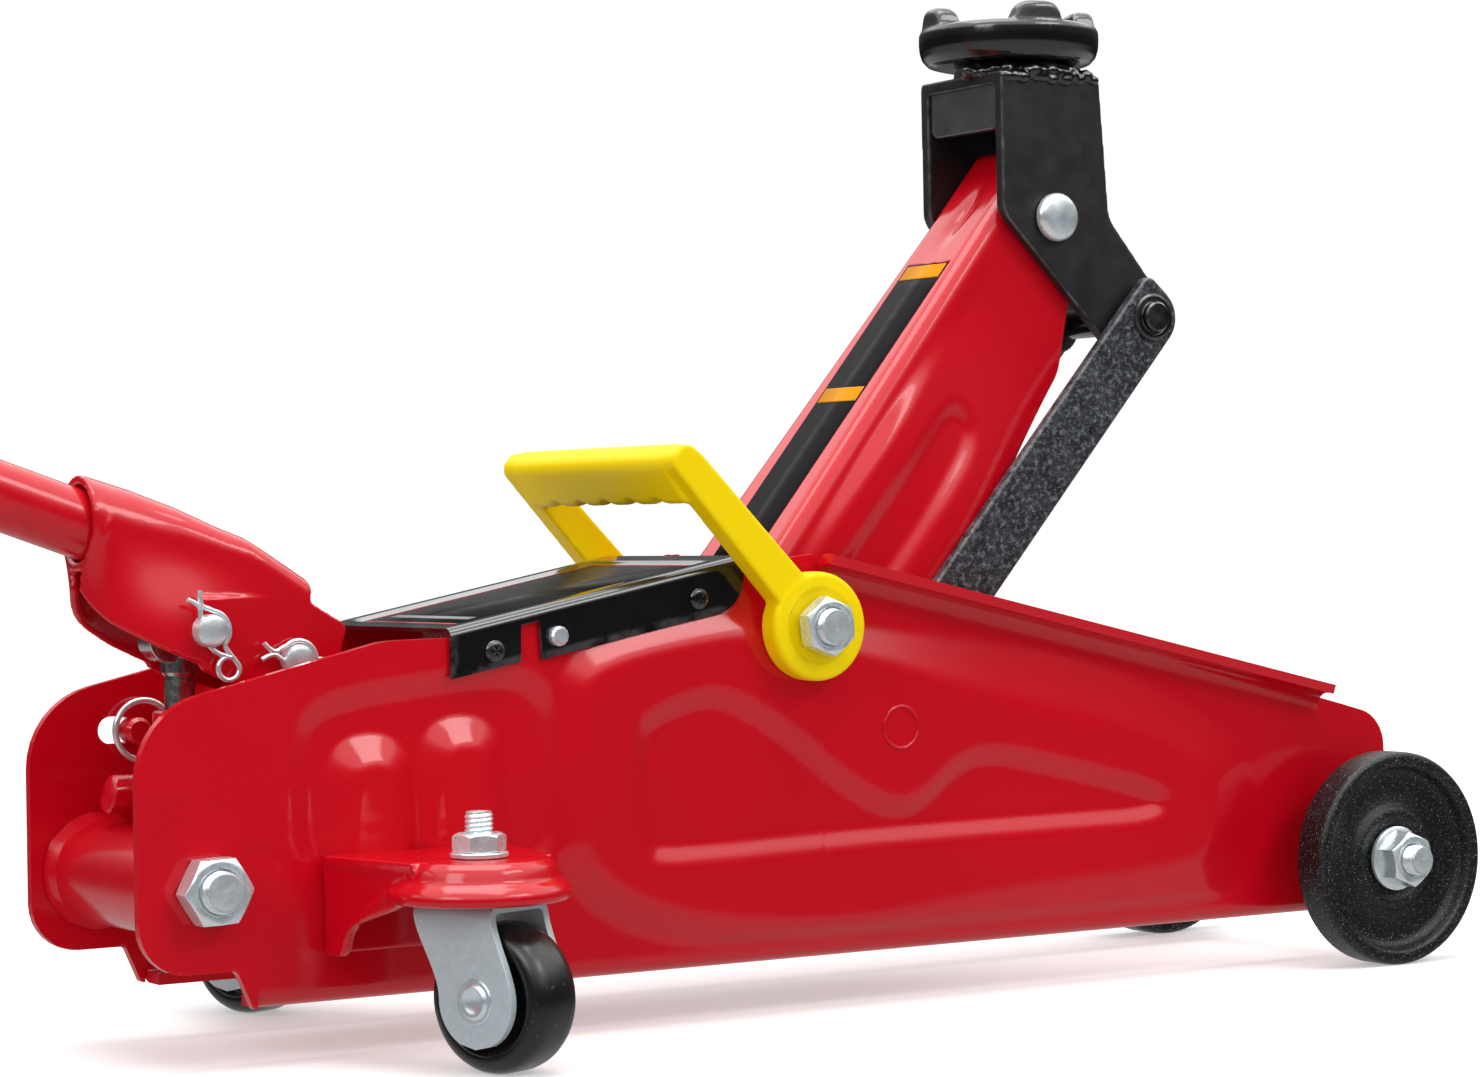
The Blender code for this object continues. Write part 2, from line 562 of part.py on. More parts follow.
def lift_arm():
    """The folded channel arm: two flanges joined by the top plate, narrowed at its tip."""
    side_corners = [(-0.012, -0.050, 0.012), (-0.014, 0.0112, 0.010), (0.1868, 0.0178, 0.003),
                    (0.1885, 0.006, 0.004), (0.182, -0.012, 0.012), (0.156, -0.018, 0.010),
                    (0.132, -0.0320, 0.016), (0.050, -0.0440, 0.030)]
    outline = [on_arm(*point) for point in rounded(side_corners)]
    arm = prism("lift_arm", outline, -ARM_HALF, ARM_HALF, "XZ", RED)
    for side_name, side in SIDES.items():
        shoulder = [(0.105, ARM_HALF), (0.136, ARM_TIP_HALF), (0.200, ARM_TIP_HALF), (0.200, 0.040)]
        shoulder.append((0.105, 0.040))
        waste = prism("arm_taper", [(along, side * away) for along, away in shoulder], -0.08, 0.05, "XY")
        waste.matrix_world = aim_arm()
        cut(arm, waste)
    wall = 0.0028
    inside = [(-0.020, -0.070), (-0.020, 0.0112 - wall), (0.1840, 0.0178 - wall - 0.0004),
              (0.200, 0.010 - wall), (0.200, -0.070)]
    cavity = prism("arm_cavity", [on_arm(*point) for point in inside], -0.0148, 0.0148)
    wide = [(-0.020, -0.070), (-0.020, 0.0112 - wall), (0.104, 0.0144 - wall), (0.104, -0.070)]
    wide_cavity = prism("arm_wide_cavity", [on_arm(*point) for point in wide],
                        -ARM_HALF + wall, ARM_HALF - wall)
    cut(arm, cavity, wide_cavity)
    for place, radius in ((ARM, SHAFT_R), (PIVOT_B, HEAD_PIN_R), (RAM_PIN, RAM_PIN_R)):
        cut(arm, cross_bore("arm_hole", radius + GAP, place, -0.03, 0.03))
    set_origin(arm, (ARM[0], 0.0, ARM[1]))
    cross_rod("ram_pin", RAM_PIN_R, RAM_PIN, 0.0002 - ARM_HALF, ARM_HALF - 0.0002, ZINC)


def aim_arm():
    """Matrix from lift-arm coordinates (along, sideways, above) to the world."""
    place = Matrix.Translation((ARM[0], 0.0, ARM[1]))
    return place @ Matrix.Rotation(-ARM_ANGLE, 4, "Y")


HEAD_TOP = 0.2920
HEAD_REAR = -0.1266
HEAD_FRONT = -0.0870


def saddle_bracket():
    """Welded bracket that carries the saddle: two cheeks, top plate, front and rear webs."""
    b, d = PIVOT_B, PIVOT_D
    corners = [(HEAD_REAR, HEAD_TOP, 0.003), (HEAD_REAR, b[1] + 0.0020, 0.010),
               (d[0] - 0.0120, d[1] - 0.0080, 0.006), (d[0] + 0.0040, d[1] - 0.0090, 0.008),
               (d[0] + 0.0105, d[1] + 0.0055, 0.008), (-0.0832, b[1] + 0.0020, 0.010),
               (HEAD_FRONT, HEAD_TOP, 0.003)]
    bracket = prism("saddle_bracket", rounded(corners), -HEAD_OUT, HEAD_OUT, "XZ", BLACK)
    hollow = [(HEAD_REAR - 0.010, HEAD_TOP - 0.0200), (HEAD_REAR + 0.0030, HEAD_TOP - 0.0200),
              (HEAD_REAR + 0.0030, HEAD_TOP - 0.0040), (HEAD_FRONT - 0.0035, HEAD_TOP - 0.0040),
              (HEAD_FRONT - 0.0035, b[1] + 0.0210), (HEAD_FRONT + 0.040, b[1] + 0.0210),
              (HEAD_FRONT + 0.040, 0.190), (HEAD_REAR - 0.010, 0.190)]
    cut(bracket, prism("bracket_hollow", hollow, -HEAD_IN, HEAD_IN))
    seat_x = saddle_x()
    join(bracket, rod("saddle_collar", 0.0185, (seat_x, 0.0, HEAD_TOP - 0.0010), (seat_x, 0.0, SADDLE_Z - GAP),
                      steps=ROUND_STEPS))
    cut(bracket, bore("saddle_bore", 0.0083, (seat_x, 0.0, 0.2700), (seat_x, 0.0, 0.3100)))
    for place, radius in ((b, HEAD_PIN_R), (d, LINK_PIN_R)):
        cut(bracket, cross_bore("bracket_hole", radius + GAP, place, -0.03, 0.03))
    set_origin(bracket, (b[0], 0.0, b[1]))

    start = (b[0], -0.0262, b[1])
    profile = [(0.0, 0.0512), (0.0055, 0.0512), (0.0060, 0.0507), (0.0060, 0.0034), (0.0076, 0.0034),
               (0.0078, 0.0028), (0.0074, 0.0010), (0.0058, 0.0), (0.0, 0.0)]
    turned("head_pin", profile, start, (0, 1, 0), ZINC, 20)
    cross_rod("link_pin", LINK_PIN_R, d, -0.0312, 0.0312, BLACK, SMALL_STEPS, 0.0006)


def saddle_x():
    return (HEAD_REAR + HEAD_FRONT) / 2.0


def saddle():
    """The round saddle: dished disc with four lugs, on a stub through the bracket."""
    x = saddle_x()
    profile = [(0.0, 0.0085), (0.0200, 0.0085), (0.0215, 0.0120), (0.0280, 0.0122), (0.0294, 0.0105),
               (0.0294, 0.0040), (0.0265, 0.0), (0.0080, 0.0), (0.0080, -0.0120), (0.0, -0.0120)]
    disc = turned("saddle", profile, (x, 0.0, SADDLE_Z), (0, 0, 1), BLACK, 28)
    for quarter in range(4):
        angle = math.radians(-15.4 + 90.0 * quarter)
        lug = [(0.0212, -0.0070, 0.0), (0.0212, 0.0070, 0.0), (0.0288, 0.0065, 0.001),
               (0.0288, -0.0065, 0.001)]
        tab = prism("saddle_lug", rounded(lug, 2), 0.0100, 0.0208, "XY")
        tab.matrix_world = Matrix.Translation((x, 0.0, SADDLE_Z)) @ Matrix.Rotation(angle, 4, "Z")
        join(disc, tab)


def links():
    """The two flat levelling links beside the lift arm."""
    c, d = Vector(PIVOT_C), Vector(PIVOT_D)
    along = (d - c).normalized()
    across = Vector((-along.y, along.x)) * LINK_WIDTH / 2.0
    reach = along * LINK_WIDTH / 2.0
    radius = LINK_WIDTH / 2.0 - 0.0001
    corners = [(*(c - reach - across), radius), (*(d + reach - across), radius),
               (*(d + reach + across), radius), (*(c - reach + across), radius)]
    for side_name, side in SIDES.items():
        name = "link_" + side_name
        bar = prism(name, rounded(corners, 5), *span(side, LINK_IN, LINK_OUT), "XZ", CAST)
        for place, hole in ((PIVOT_C, LINK_STUD_R), (PIVOT_D, LINK_PIN_R)):
            cut(bar, cross_bore(name + "_hole", hole + GAP, place, *span(side, 0.02, 0.034)))
        set_origin(bar, (PIVOT_C[0], side * LINK_IN, PIVOT_C[1]))


# ---- pump handle -----------------------------------------------------------
def on_handle(along, above):
    """The (x, z) of a point along the pump handle's centreline, and above it."""
    cosine, sine = math.cos(HANDLE_TILT), math.sin(HANDLE_TILT)
    return (HANDLE_ENTRY[0] - along * cosine + above * sine,
            HANDLE_ENTRY[1] + along * sine + above * cosine)


def pump_handle():
    """Handle socket with its pins, and the tubular handle with its grip."""
    start = on_handle(-0.0300, 0.0)
    mouth = on_handle(0.0040, 0.0)
    corners = [(-0.4445, 0.1345, 0.006), (-0.4430, 0.1290, 0.006), (-0.4375, 0.1246, 0.005),
               (-0.3985, 0.1065, 0.010), (-0.3720, 0.1000, 0.009), (-0.3645, 0.1080, 0.006),
               (-0.3607, 0.1200, 0.003), (-0.3735, 0.1292, 0.0), (-0.3697, 0.1348, 0.002),
               (-0.3895, 0.1460, 0.010), (-0.4300, 0.1470, 0.006), (-0.4400, 0.1440, 0.005)]
    socket = prism("handle_socket", rounded(corners), -0.020, 0.020, "XZ", RED)
    start_in = on_handle(-0.0190, -0.0135)
    roof = on_handle(-0.0190, 0.0080)
    inside = [(-0.460, 0.090), (-0.460, 0.1180), (-0.4365, 0.1310), start_in, roof,
              (-0.3905, 0.1427), (-0.3728, 0.1325), (-0.3728, 0.1400), (-0.350, 0.1400), (-0.350, 0.090)]
    collar = rod("socket_collar", 0.0121, (start[0], 0.0, start[1]), (mouth[0], 0.0, mouth[1]),
                 steps=ROUND_STEPS)
    join(socket, collar)
    cut(socket, prism("socket_hollow", inside, -0.0172, 0.0172))
    throat = on_handle(-0.0250, 0.0)
    beyond = on_handle(0.0300, 0.0)
    cut(socket, bore("socket_bore", HANDLE_R + GAP, (throat[0], 0.0, throat[1]), (beyond[0], 0.0, beyond[1]),
                    steps=ROUND_STEPS))
    for place in (FULCRUM, PLUNGER):
        cut(socket, cross_bore("socket_hole", PUMP_PIN_R + GAP, place, -0.03, 0.03))
    set_origin(socket, (FULCRUM[0], 0.0, FULCRUM[1]))
    cross_rod("plunger_pin", PUMP_PIN_R, PLUNGER, -0.0245, 0.0245, ZINC, SMALL_STEPS, 0.0008)
    retaining_clip("plunger_clip", PLUNGER, -0.0220, math.radians(-60.0))
    retaining_clip("fulcrum_clip", FULCRUM, -0.0220, math.radians(-15.0))

    foot = on_handle(-HANDLE_INSERT, 0.0)
    inner = Vector((foot[0], 0.0, foot[1]))
    outward = Vector((-math.cos(HANDLE_TILT), 0.0, math.sin(HANDLE_TILT)))
    grip_start = inner + outward * (HANDLE_LENGTH - GRIP_LENGTH)
    end = inner + outward * HANDLE_LENGTH
    tube("handle_tube", HANDLE_R, HANDLE_R - 0.0015, inner, end, RED)
    grip_bore = HANDLE_R + GAP
    profile = [(0.0, GRIP_LENGTH + GRIP_ROUND), (GRIP_R - GRIP_ROUND, GRIP_LENGTH + GRIP_ROUND),
               (GRIP_R, GRIP_LENGTH), (GRIP_R, 0.0040), (GRIP_R - 0.0025, 0.0), (grip_bore, 0.0),
               (grip_bore, GRIP_LENGTH + GAP), (0.0, GRIP_LENGTH + GAP)]
    turned("handle_grip", profile, grip_start, outward, RUBBER)


def retaining_clip(name, place, y, lean):
    """A round-wire clip: crossed tails, a bow round the pin and an end loop."""
    x, z = place
    wire_r = 0.0007
    bow_r = PUMP_PIN_R + GAP + wire_r + 0.0003
    axis = Vector((math.cos(lean), 0.0, math.sin(lean)))
    across = Vector((-axis.z, 0.0, axis.x))
    centre = Vector((x, y, z))
    loop_r = 0.0032
    loop_centre = axis * 0.0130
    points = [centre - axis * 0.0115 + across * 0.0028]
    for step in range(7):
        angle = math.radians(160.0 - 23.0 * step)
        points.append(centre + (axis * math.cos(angle) + across * math.sin(angle)) * bow_r)
    for step in range(9):
        angle = math.radians(75.0 - 30.0 * step)
        points.append(centre + loop_centre + (axis * math.cos(angle) + across * math.sin(angle)) * loop_r)
    wire(name, points, wire_r, ZINC)


# ---- wheels and casters ----------------------------------------------------
def front_wheels():
    """Cast front wheels with a recessed face and an inboard hub."""
    for side_name, side in SIDES.items():
        hub_bore = AXLE_R + GAP
        hub_in = PLATE_OUT + GAP + 0.0004
        profile = [(hub_bore, 0.0628), (0.0135, 0.0628), (0.0150, 0.0618), (0.0285, 0.0618),
                   (0.0300, WHEEL_OUT), (0.0338, WHEEL_OUT), (WHEEL_R, WHEEL_OUT - 0.0012),
                   (WHEEL_R, WHEEL_IN + 0.0012), (0.0338, WHEEL_IN), (0.0300, WHEEL_IN),
                   (0.0285, 0.0580), (0.0120, 0.0580), (0.0110, hub_in), (hub_bore, hub_in)]
        turned("front_wheel_" + side_name, profile, (0.0, 0.0, WHEEL_R), (0, side, 0), CAST, 28, closed=True)


def caster_bracket(side_name):
    """Pressed bracket on the side plate: flanged disc, two gussets and a back plate."""
    side = SIDES[side_name]
    name = "caster_bracket_" + side_name
    x, away = CASTER
    y = side * away
    root = PLATE_OUT + GAP
    rim = 0.0225
    half = 0.028
    disc = []
    for step in range(19):
        angle = math.radians(-15.0 + 210.0 * step / 18)
        disc.append((x + rim * math.cos(angle), y + side * rim * math.sin(angle)))
    outline = disc + [(x - half, side * root), (x + half, side * root)]
    bracket = prism(name, outline, 0.0470, BRACKET_TOP, "XY", RED)
    inset = [Vector((x, y)) + (Vector(point) - Vector((x, y))) * 0.87 for point in disc]
    inside = inset + [(x - half + 0.003, side * (root + 0.003)), (x + half - 0.003, side * (root + 0.003))]
    cut(bracket, prism(name + "_pocket", inside, 0.0400, BRACKET_TOP - 0.0030, "XY"))
    gusset = [(side * root, 0.0300), (side * 0.0505, 0.0300), (side * 0.0545, 0.0400),
              (side * 0.0660, 0.0475), (side * 0.0660, 0.0550), (side * root, 0.0550)]
    for low in (x - half, x + half - 0.003):
        join(bracket, prism(name + "_gusset", gusset, low + 0.0001, low + 0.0029, "YZ"))
    low_y, high_y = span(side, root + 0.0001, root + 0.0030)
    join(bracket, box(name + "_back", (x - half + 0.001, low_y, 0.0305), (x + half - 0.001, high_y, 0.0560)))
    cut(bracket, bore(name + "_bore", 0.0043, (x, y, 0.040), (x, y, 0.070)))
    set_origin(bracket, (x, side * root, BRACKET_TOP))


def caster(side_name):
    """Stud and nut on the bracket; fork, axle and wheel turned about the stud."""
    side = SIDES[side_name]
    x, away = CASTER
    y = side * away
    race_top = BRACKET_TOP - 0.0030 - GAP
    profile = [(0.0, 0.0708), (0.0034, 0.0708), (0.0040, 0.0702), (0.0040, race_top), (0.0110, race_top),
               (0.0110, 0.0468), (0.0040, 0.0468), (0.0040, 0.0436), (0.0068, 0.0436), (0.0068, 0.0418),
               (0.0, 0.0418)]
    turned("caster_stud_" + side_name, profile, (x, y, 0.0), (0, 0, 1), ZINC, SMALL_STEPS)
    corner = 0.013 / math.sqrt(3.0)
    outline = [(x + corner * math.cos(math.radians(60 * i + 10)), y + corner * math.sin(math.radians(60 * i + 10)))
               for i in range(6)]
    nut = prism("caster_nut_" + side_name, outline, BRACKET_TOP + 0.0013, 0.0647, "XY", ZINC)
    join(nut, rod("caster_washer", 0.0080, (x, y, BRACKET_TOP + GAP), (x, y, BRACKET_TOP + 0.0016)))
    cut(nut, bore("caster_nut_bore", 0.0043, (x, y, 0.05), (x, y, 0.08)))

    swivel = bpy.data.objects.new("caster_swivel_" + side_name, None)
    PARTS.objects.link(swivel)
    swivel.location = (x, y, 0.0)
    swivel.rotation_euler = (0.0, 0.0, CASTER_TURN)
    cheek_in = CASTER_HALF + 0.0006
    cheek_out = cheek_in + 0.0025
    top = 0.0465
    fork = box("caster_fork_" + side_name, (-0.0140, -cheek_out, top - 0.0026), (0.0140, cheek_out, top), ZINC)
    cheek = [(-0.0141, top - 0.0003, 0.0), (0.0141, top - 0.0003, 0.0), (0.0150, 0.0300, 0.010),
             (CASTER_TRAIL + 0.0130, CASTER_R, 0.006), (CASTER_TRAIL + 0.0125, CASTER_R - 0.0130, 0.0105),
             (CASTER_TRAIL - 0.0130, CASTER_R - 0.0130, 0.0105), (-0.0130, 0.0340, 0.012)]
    for sign in (-1.0, 1.0):
        low, high = span(sign, cheek_in, cheek_out - 0.0001)
        ear = prism("fork_cheek", rounded(cheek), low, high)
        ear.parent = swivel
        join(fork, ear)
    hole = bore("fork_hole", 0.0043, (0, 0, 0.03), (0, 0, 0.06))
    axle_hole = cross_bore("fork_axle_hole", 0.0033, (CASTER_TRAIL, CASTER_R), -0.02, 0.02)
    axle = cross_rod("caster_axle_" + side_name, 0.0030, (CASTER_TRAIL, CASTER_R),
                     -cheek_out - 0.0012, cheek_out + 0.0012, ZINC, SMALL_STEPS, 0.0005)
    wheel_profile = [(0.0033, CASTER_HALF), (0.0150, CASTER_HALF), (0.0185, CASTER_HALF - 0.0008),
                     (CASTER_R, CASTER_HALF - 0.0030), (CASTER_R, -CASTER_HALF + 0.0030),
                     (0.0185, -CASTER_HALF + 0.0008), (0.0150, -CASTER_HALF), (0.0033, -CASTER_HALF)]
    wheel = turned("caster_wheel_" + side_name, wheel_profile, (CASTER_TRAIL, 0.0, CASTER_R), (0, 1, 0),
                   TYRE, 24, closed=True)
    cut(fork, hole, axle_hole)
    for piece in (fork, hole, axle_hole, axle, wheel):
        piece.parent = swivel


# ---- carry handle ----------------------------------------------------------
def carry_handle():
    """The yellow carry handle: two arms with eyes on the lift shaft and a grip bar."""
    x, z = ARM
    arm_corners = [(-0.2205, 0.1295, 0.0), (-0.2585, 0.1680, 0.006), (-0.2645, 0.1724, 0.004),
                   (-0.2706, 0.1660, 0.004), (-0.2330, 0.1198, 0.0)]
    bar_corners = [(-0.2700, 0.1655, 0.003), (-0.2648, 0.1718, 0.004), (-0.2575, 0.1690, 0.004),
                   (-0.2565, 0.1545, 0.003), (-0.2615, 0.1545, 0.003)]
    bar = prism("carry_handle", rounded(bar_corners, 4), -CARRY_IN - 0.001, CARRY_IN + 0.001, "XZ", YELLOW)
    for side_name, side in SIDES.items():
        arm = prism("carry_arm", rounded(arm_corners), *span(side, CARRY_IN, CARRY_OUT - 0.0001))
        eye = cross_rod("carry_eye", 0.018, ARM, *span(side, CARRY_IN + 0.0001, CARRY_OUT),
                        steps=ROUND_STEPS)
        join(bar, arm, eye)
    cut(bar, cross_bore("carry_bore", SHAFT_R + GAP, ARM, -0.06, 0.06))
    for notch in range(-2, 3):
        cut(bar, finger_groove(notch * 0.0165))
    set_origin(bar, (x, 0.0, z))


def finger_groove(y):
    """A cutter for one finger groove under the grip bar."""
    return rod("finger_groove", 0.0048, (-0.290, y, 0.1518), (-0.250, y, 0.1518))


# ---- assembly --------------------------------------------------------------
for which in SIDES:
    side_plate(which)
    caster_bracket(which)
    caster(which)
cover()
cross_members()
side_pin()
hydraulics()
return_spring()
lift_arm()
saddle_bracket()
saddle()
links()
pump_handle()
front_wheels()
carry_handle()

bpy.context.view_layer.update()
for placed in list(PARTS.objects) + list(CUTTERS.objects):
    if placed.parent is None:
        placed.matrix_world = Matrix.Translation((-CENTRE_X, 0.0, 0.0)) @ placed.matrix_world
bpy.context.view_layer.update()
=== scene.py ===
"""Compact trolley jack: finished surfaces, materials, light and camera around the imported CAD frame.

Shapes are written in millimetres from the floor under the front axle, on the mid-plane,
+X forward, -Y to the jack's right. Shape.make() turns them into metres in the CAD frame.
"""
import math

import json

import bmesh
import bpy
import numpy as np
from mathutils import Matrix, Vector


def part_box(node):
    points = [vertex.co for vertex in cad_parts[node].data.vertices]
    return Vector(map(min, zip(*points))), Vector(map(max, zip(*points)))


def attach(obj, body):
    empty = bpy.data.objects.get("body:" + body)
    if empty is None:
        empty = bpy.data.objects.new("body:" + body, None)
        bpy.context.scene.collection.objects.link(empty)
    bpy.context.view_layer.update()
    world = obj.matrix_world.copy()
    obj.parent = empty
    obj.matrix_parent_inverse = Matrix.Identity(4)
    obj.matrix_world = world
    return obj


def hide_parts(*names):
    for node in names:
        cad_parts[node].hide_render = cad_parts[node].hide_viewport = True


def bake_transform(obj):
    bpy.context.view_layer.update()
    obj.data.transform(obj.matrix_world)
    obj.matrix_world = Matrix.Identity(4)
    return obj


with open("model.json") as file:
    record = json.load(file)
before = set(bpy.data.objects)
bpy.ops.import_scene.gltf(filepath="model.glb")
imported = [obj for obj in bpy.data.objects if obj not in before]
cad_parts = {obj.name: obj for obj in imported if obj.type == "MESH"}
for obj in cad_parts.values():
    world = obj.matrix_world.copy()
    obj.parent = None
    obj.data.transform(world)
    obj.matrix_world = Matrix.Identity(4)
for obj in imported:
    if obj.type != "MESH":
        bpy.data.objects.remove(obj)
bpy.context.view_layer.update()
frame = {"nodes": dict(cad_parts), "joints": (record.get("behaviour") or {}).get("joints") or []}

MM = 0.001
SIDES = {"right": -1.0, "left": 1.0}


# ---- places taken from the CAD frame ----------------------------------------
def middle(node):
    """Centre of a CAD node's box, in metres."""
    low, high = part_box(node)
    return (low + high) / 2.0


AXLE_X = middle("front_axle").x


def spot(place):
    """A point of the CAD frame, in this script's millimetres."""
    return Vector(((place[0] - AXLE_X) / MM, place[1] / MM, place[2] / MM))


def low_mm(node):
    return spot(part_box(node)[0])


def high_mm(node):
    return spot(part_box(node)[1])


PIVOT = {joint["name"]: spot(joint["pos_m"]) for joint in frame["joints"] if "pos_m" in joint}
ARM = PIVOT["arm_lift"]
HEAD = PIVOT["head_level"]
LINK = PIVOT["link_right_swing"]
LINK_TOP = LINK + HEAD - ARM
AXLE = Vector((0.0, 0.0, spot(middle("front_axle")).z))
TIE = spot(middle("rear_tie_rod"))
STUD_X = PIVOT["caster_right_swivel"].x
STUD_Y = abs(PIVOT["caster_right_swivel"].y)
PLATE_OUT = 40.3
SHEET = 3.0
ARM_ANGLE = math.atan2(HEAD.z - ARM.z, HEAD.x - ARM.x)
HANDLE_AXIS = next(Vector(j["axis"]).normalized() for j in frame["joints"] if j["name"] == "handle_twist")
ENTRY = PIVOT["handle_twist"]


# ---- materials --------------------------------------------------------------
class Finish:
    """Builds one procedural Principled material."""

    def __init__(self, name, colour, roughness, metallic=0.0, coat=0.0, specular=0.5):
        self.material = bpy.data.materials.new(name)
        self.material.use_nodes = True
        self.tree = self.material.node_tree
        self.shader = self.tree.nodes["Principled BSDF"]
        self.shader.inputs["Base Color"].default_value = (*colour, 1.0)
        self.shader.inputs["Roughness"].default_value = roughness
        self.shader.inputs["Metallic"].default_value = metallic
        self.shader.inputs["Specular IOR Level"].default_value = specular
        self.shader.inputs["Coat Weight"].default_value = coat
        self.shader.inputs["Coat Roughness"].default_value = 0.06
        self.colour = colour
        self.roughness = roughness
        self.where = self.tree.nodes.new("ShaderNodeTexCoord").outputs["Object"]
        self.height = None

    def node(self, kind, **inputs):
        made = self.tree.nodes.new(kind)
        for key, value in inputs.items():
            made.inputs[key.replace("_", " ")].default_value = value
        return made

    def noise(self, scale, detail=3.0, stretch=None, rough=0.5):
        """A noise field with its scale in features per metre."""
        made = self.node("ShaderNodeTexNoise", Scale=scale, Detail=detail, Roughness=rough)
        place = self.where
        if stretch is not None:
            mapping = self.tree.nodes.new("ShaderNodeMapping")
            mapping.inputs["Scale"].default_value = stretch
            self.tree.links.new(place, mapping.inputs["Vector"])
            place = mapping.outputs["Vector"]
        self.tree.links.new(place, made.inputs["Vector"])
        return made.outputs["Fac"]

    def cells(self, scale, feature="SMOOTH_F1"):
        made = self.node("ShaderNodeTexVoronoi", Scale=scale)
        made.feature = feature
        self.tree.links.new(self.where, made.inputs["Vector"])
        return made.outputs["Distance"]

    def ramp(self, field, low, high, start=0.0, end=1.0):
        """Maps a field from [low, high] to [start, end], clamped."""
        made = self.node("ShaderNodeMapRange", From_Min=low, From_Max=high, To_Min=start, To_Max=end)
        self.tree.links.new(field, made.inputs["Value"])
        return made.outputs["Result"]

    def tint(self, field, colour):
        """Mixes another colour in by a 0 to 1 field."""
        mix = self.tree.nodes.new("ShaderNodeMix")
        mix.data_type = "RGBA"
        base = self.shader.inputs["Base Color"]
        if base.is_linked:
            self.tree.links.new(base.links[0].from_socket, mix.inputs[6])
        else:
            mix.inputs[6].default_value = base.default_value
        mix.inputs[7].default_value = (*colour, 1.0)
        self.tree.links.new(field, mix.inputs[0])
        self.tree.links.new(mix.outputs[2], base)
        return self

    def vary_roughness(self, field, low, high, start, end):
        self.tree.links.new(self.ramp(field, low, high, start, end), self.shader.inputs["Roughness"])
        return self

    def bump(self, field, depth, strength=1.0):
        """Adds relief, with depth in metres."""
        made = self.node("ShaderNodeBump", Strength=strength, Distance=depth)
        self.tree.links.new(field, made.inputs["Height"])
        if self.height is not None:
            self.tree.links.new(self.height, made.inputs["Normal"])
        self.height = made.outputs["Normal"]
        self.tree.links.new(self.height, self.shader.inputs["Normal"])
        return self

    def edge_highlight_and_wear(self, colour, low=0.53, high=0.60, amount=0.5):
        """Lightens convex edges, broken up by noise: a painted highlight along the edges, partly wear."""
        geometry = self.tree.nodes.new("ShaderNodeNewGeometry")
        edge = self.ramp(geometry.outputs["Pointiness"], low, high, 0.0, amount)
        product = self.tree.nodes.new("ShaderNodeMath")
        product.operation = "MULTIPLY"
        self.tree.links.new(edge, product.inputs[0])
        self.tree.links.new(self.ramp(self.noise(180.0), 0.4, 0.6), product.inputs[1])
        return self.tint(product.outputs[0], colour)


def red_paint():
    made = Finish("red_paint", (0.62, 0.0004, 0.010), 0.5, coat=0.9, specular=0.05)
    made.shader.inputs["Coat Roughness"].default_value = 0.13
    made.tint(made.ramp(made.noise(14.0, 2.0), 0.35, 0.7, 0.0, 0.3), (0.48, 0.0004, 0.007))
    made.vary_roughness(made.noise(60.0), 0.3, 0.7, 0.42, 0.58)
    made.bump(made.noise(420.0, 2.0), 0.00003, 0.5)
    made.bump(made.noise(70.0, 1.0), 0.00008, 0.3)
    made.tree.links.new(made.height, made.shader.inputs["Coat Normal"])
    # Lighter red along the edges is a painted highlight, partly wear.
    return made.edge_highlight_and_wear((0.72, 0.02, 0.03), amount=0.3).material


def black_gloss(name="black_gloss", roughness=0.16, shade=0.006):
    made = Finish(name, (shade, shade, shade * 1.1), roughness, coat=0.6)
    made.vary_roughness(made.noise(90.0), 0.3, 0.7, roughness * 0.8, roughness * 1.5)
    made.bump(made.noise(500.0, 3.0), 0.00006, 0.6)
    # Painted glints: small lighter specks stand in for tiny reflections on the black finish.
    glint_speck = made.ramp(made.cells(420.0, "F1"), 0.05, 0.0, 0.0, 0.6)
    made.tint(glint_speck, (0.25, 0.25, 0.26))
    # Lighter edges: painted highlight, partly wear.
    return made.edge_highlight_and_wear((0.10, 0.10, 0.11), amount=0.5).material


def black_satin():
    made = Finish("black_satin", (0.011, 0.010, 0.011), 0.42)
    made.vary_roughness(made.noise(120.0), 0.3, 0.7, 0.36, 0.5)
    made.bump(made.noise(900.0, 3.0), 0.00005, 0.5)
    # Painted glints: small lighter specks stand in for tiny reflections on the black finish.
    glint_speck = made.ramp(made.cells(260.0, "F1"), 0.04, 0.0, 0.0, 0.5)
    made.tint(glint_speck, (0.3, 0.3, 0.3))
    # Lighter edges: painted rim highlight, partly wear.
    return made.edge_highlight_and_wear((0.30, 0.30, 0.32), 0.52, 0.58, 0.7).material


def hammered():
    made = Finish("black_hammered", (0.011, 0.012, 0.015), 0.30)
    made.bump(made.noise(330.0, 4.0, rough=0.65), 0.0009, 0.9)
    made.bump(made.cells(420.0), 0.0003, 0.5)
    made.tint(made.ramp(made.noise(520.0, 3.0, rough=0.65), 0.50, 0.68, 0.0, 0.8), (0.17, 0.19, 0.22))
    made.vary_roughness(made.noise(220.0), 0.3, 0.7, 0.22, 0.45)
    # Lighter edges: painted highlight along the chamfers, partly wear.
    return made.edge_highlight_and_wear((0.30, 0.32, 0.36), 0.52, 0.58, 0.8).material


def cast_black():
    made = Finish("black_cast", (0.004, 0.004, 0.0045), 0.42, specular=0.35)
    made.bump(made.noise(1500.0, 3.0, rough=0.7), 0.0003, 0.6)
    made.bump(made.noise(240.0, 2.0), 0.0002, 0.3)
    # Painted glints: sparse lighter spots stand in for the sparkle of the cast surface.
    painted_sparkle = made.ramp(made.noise(2300.0, 1.0), 0.66, 0.74, 0.0, 0.9)
    made.tint(painted_sparkle, (0.35, 0.36, 0.38))
    made.vary_roughness(made.noise(900.0), 0.3, 0.7, 0.26, 0.5)
    # Lighter edges: painted highlight, partly wear.
    return made.edge_highlight_and_wear((0.10, 0.10, 0.11), amount=0.6).material


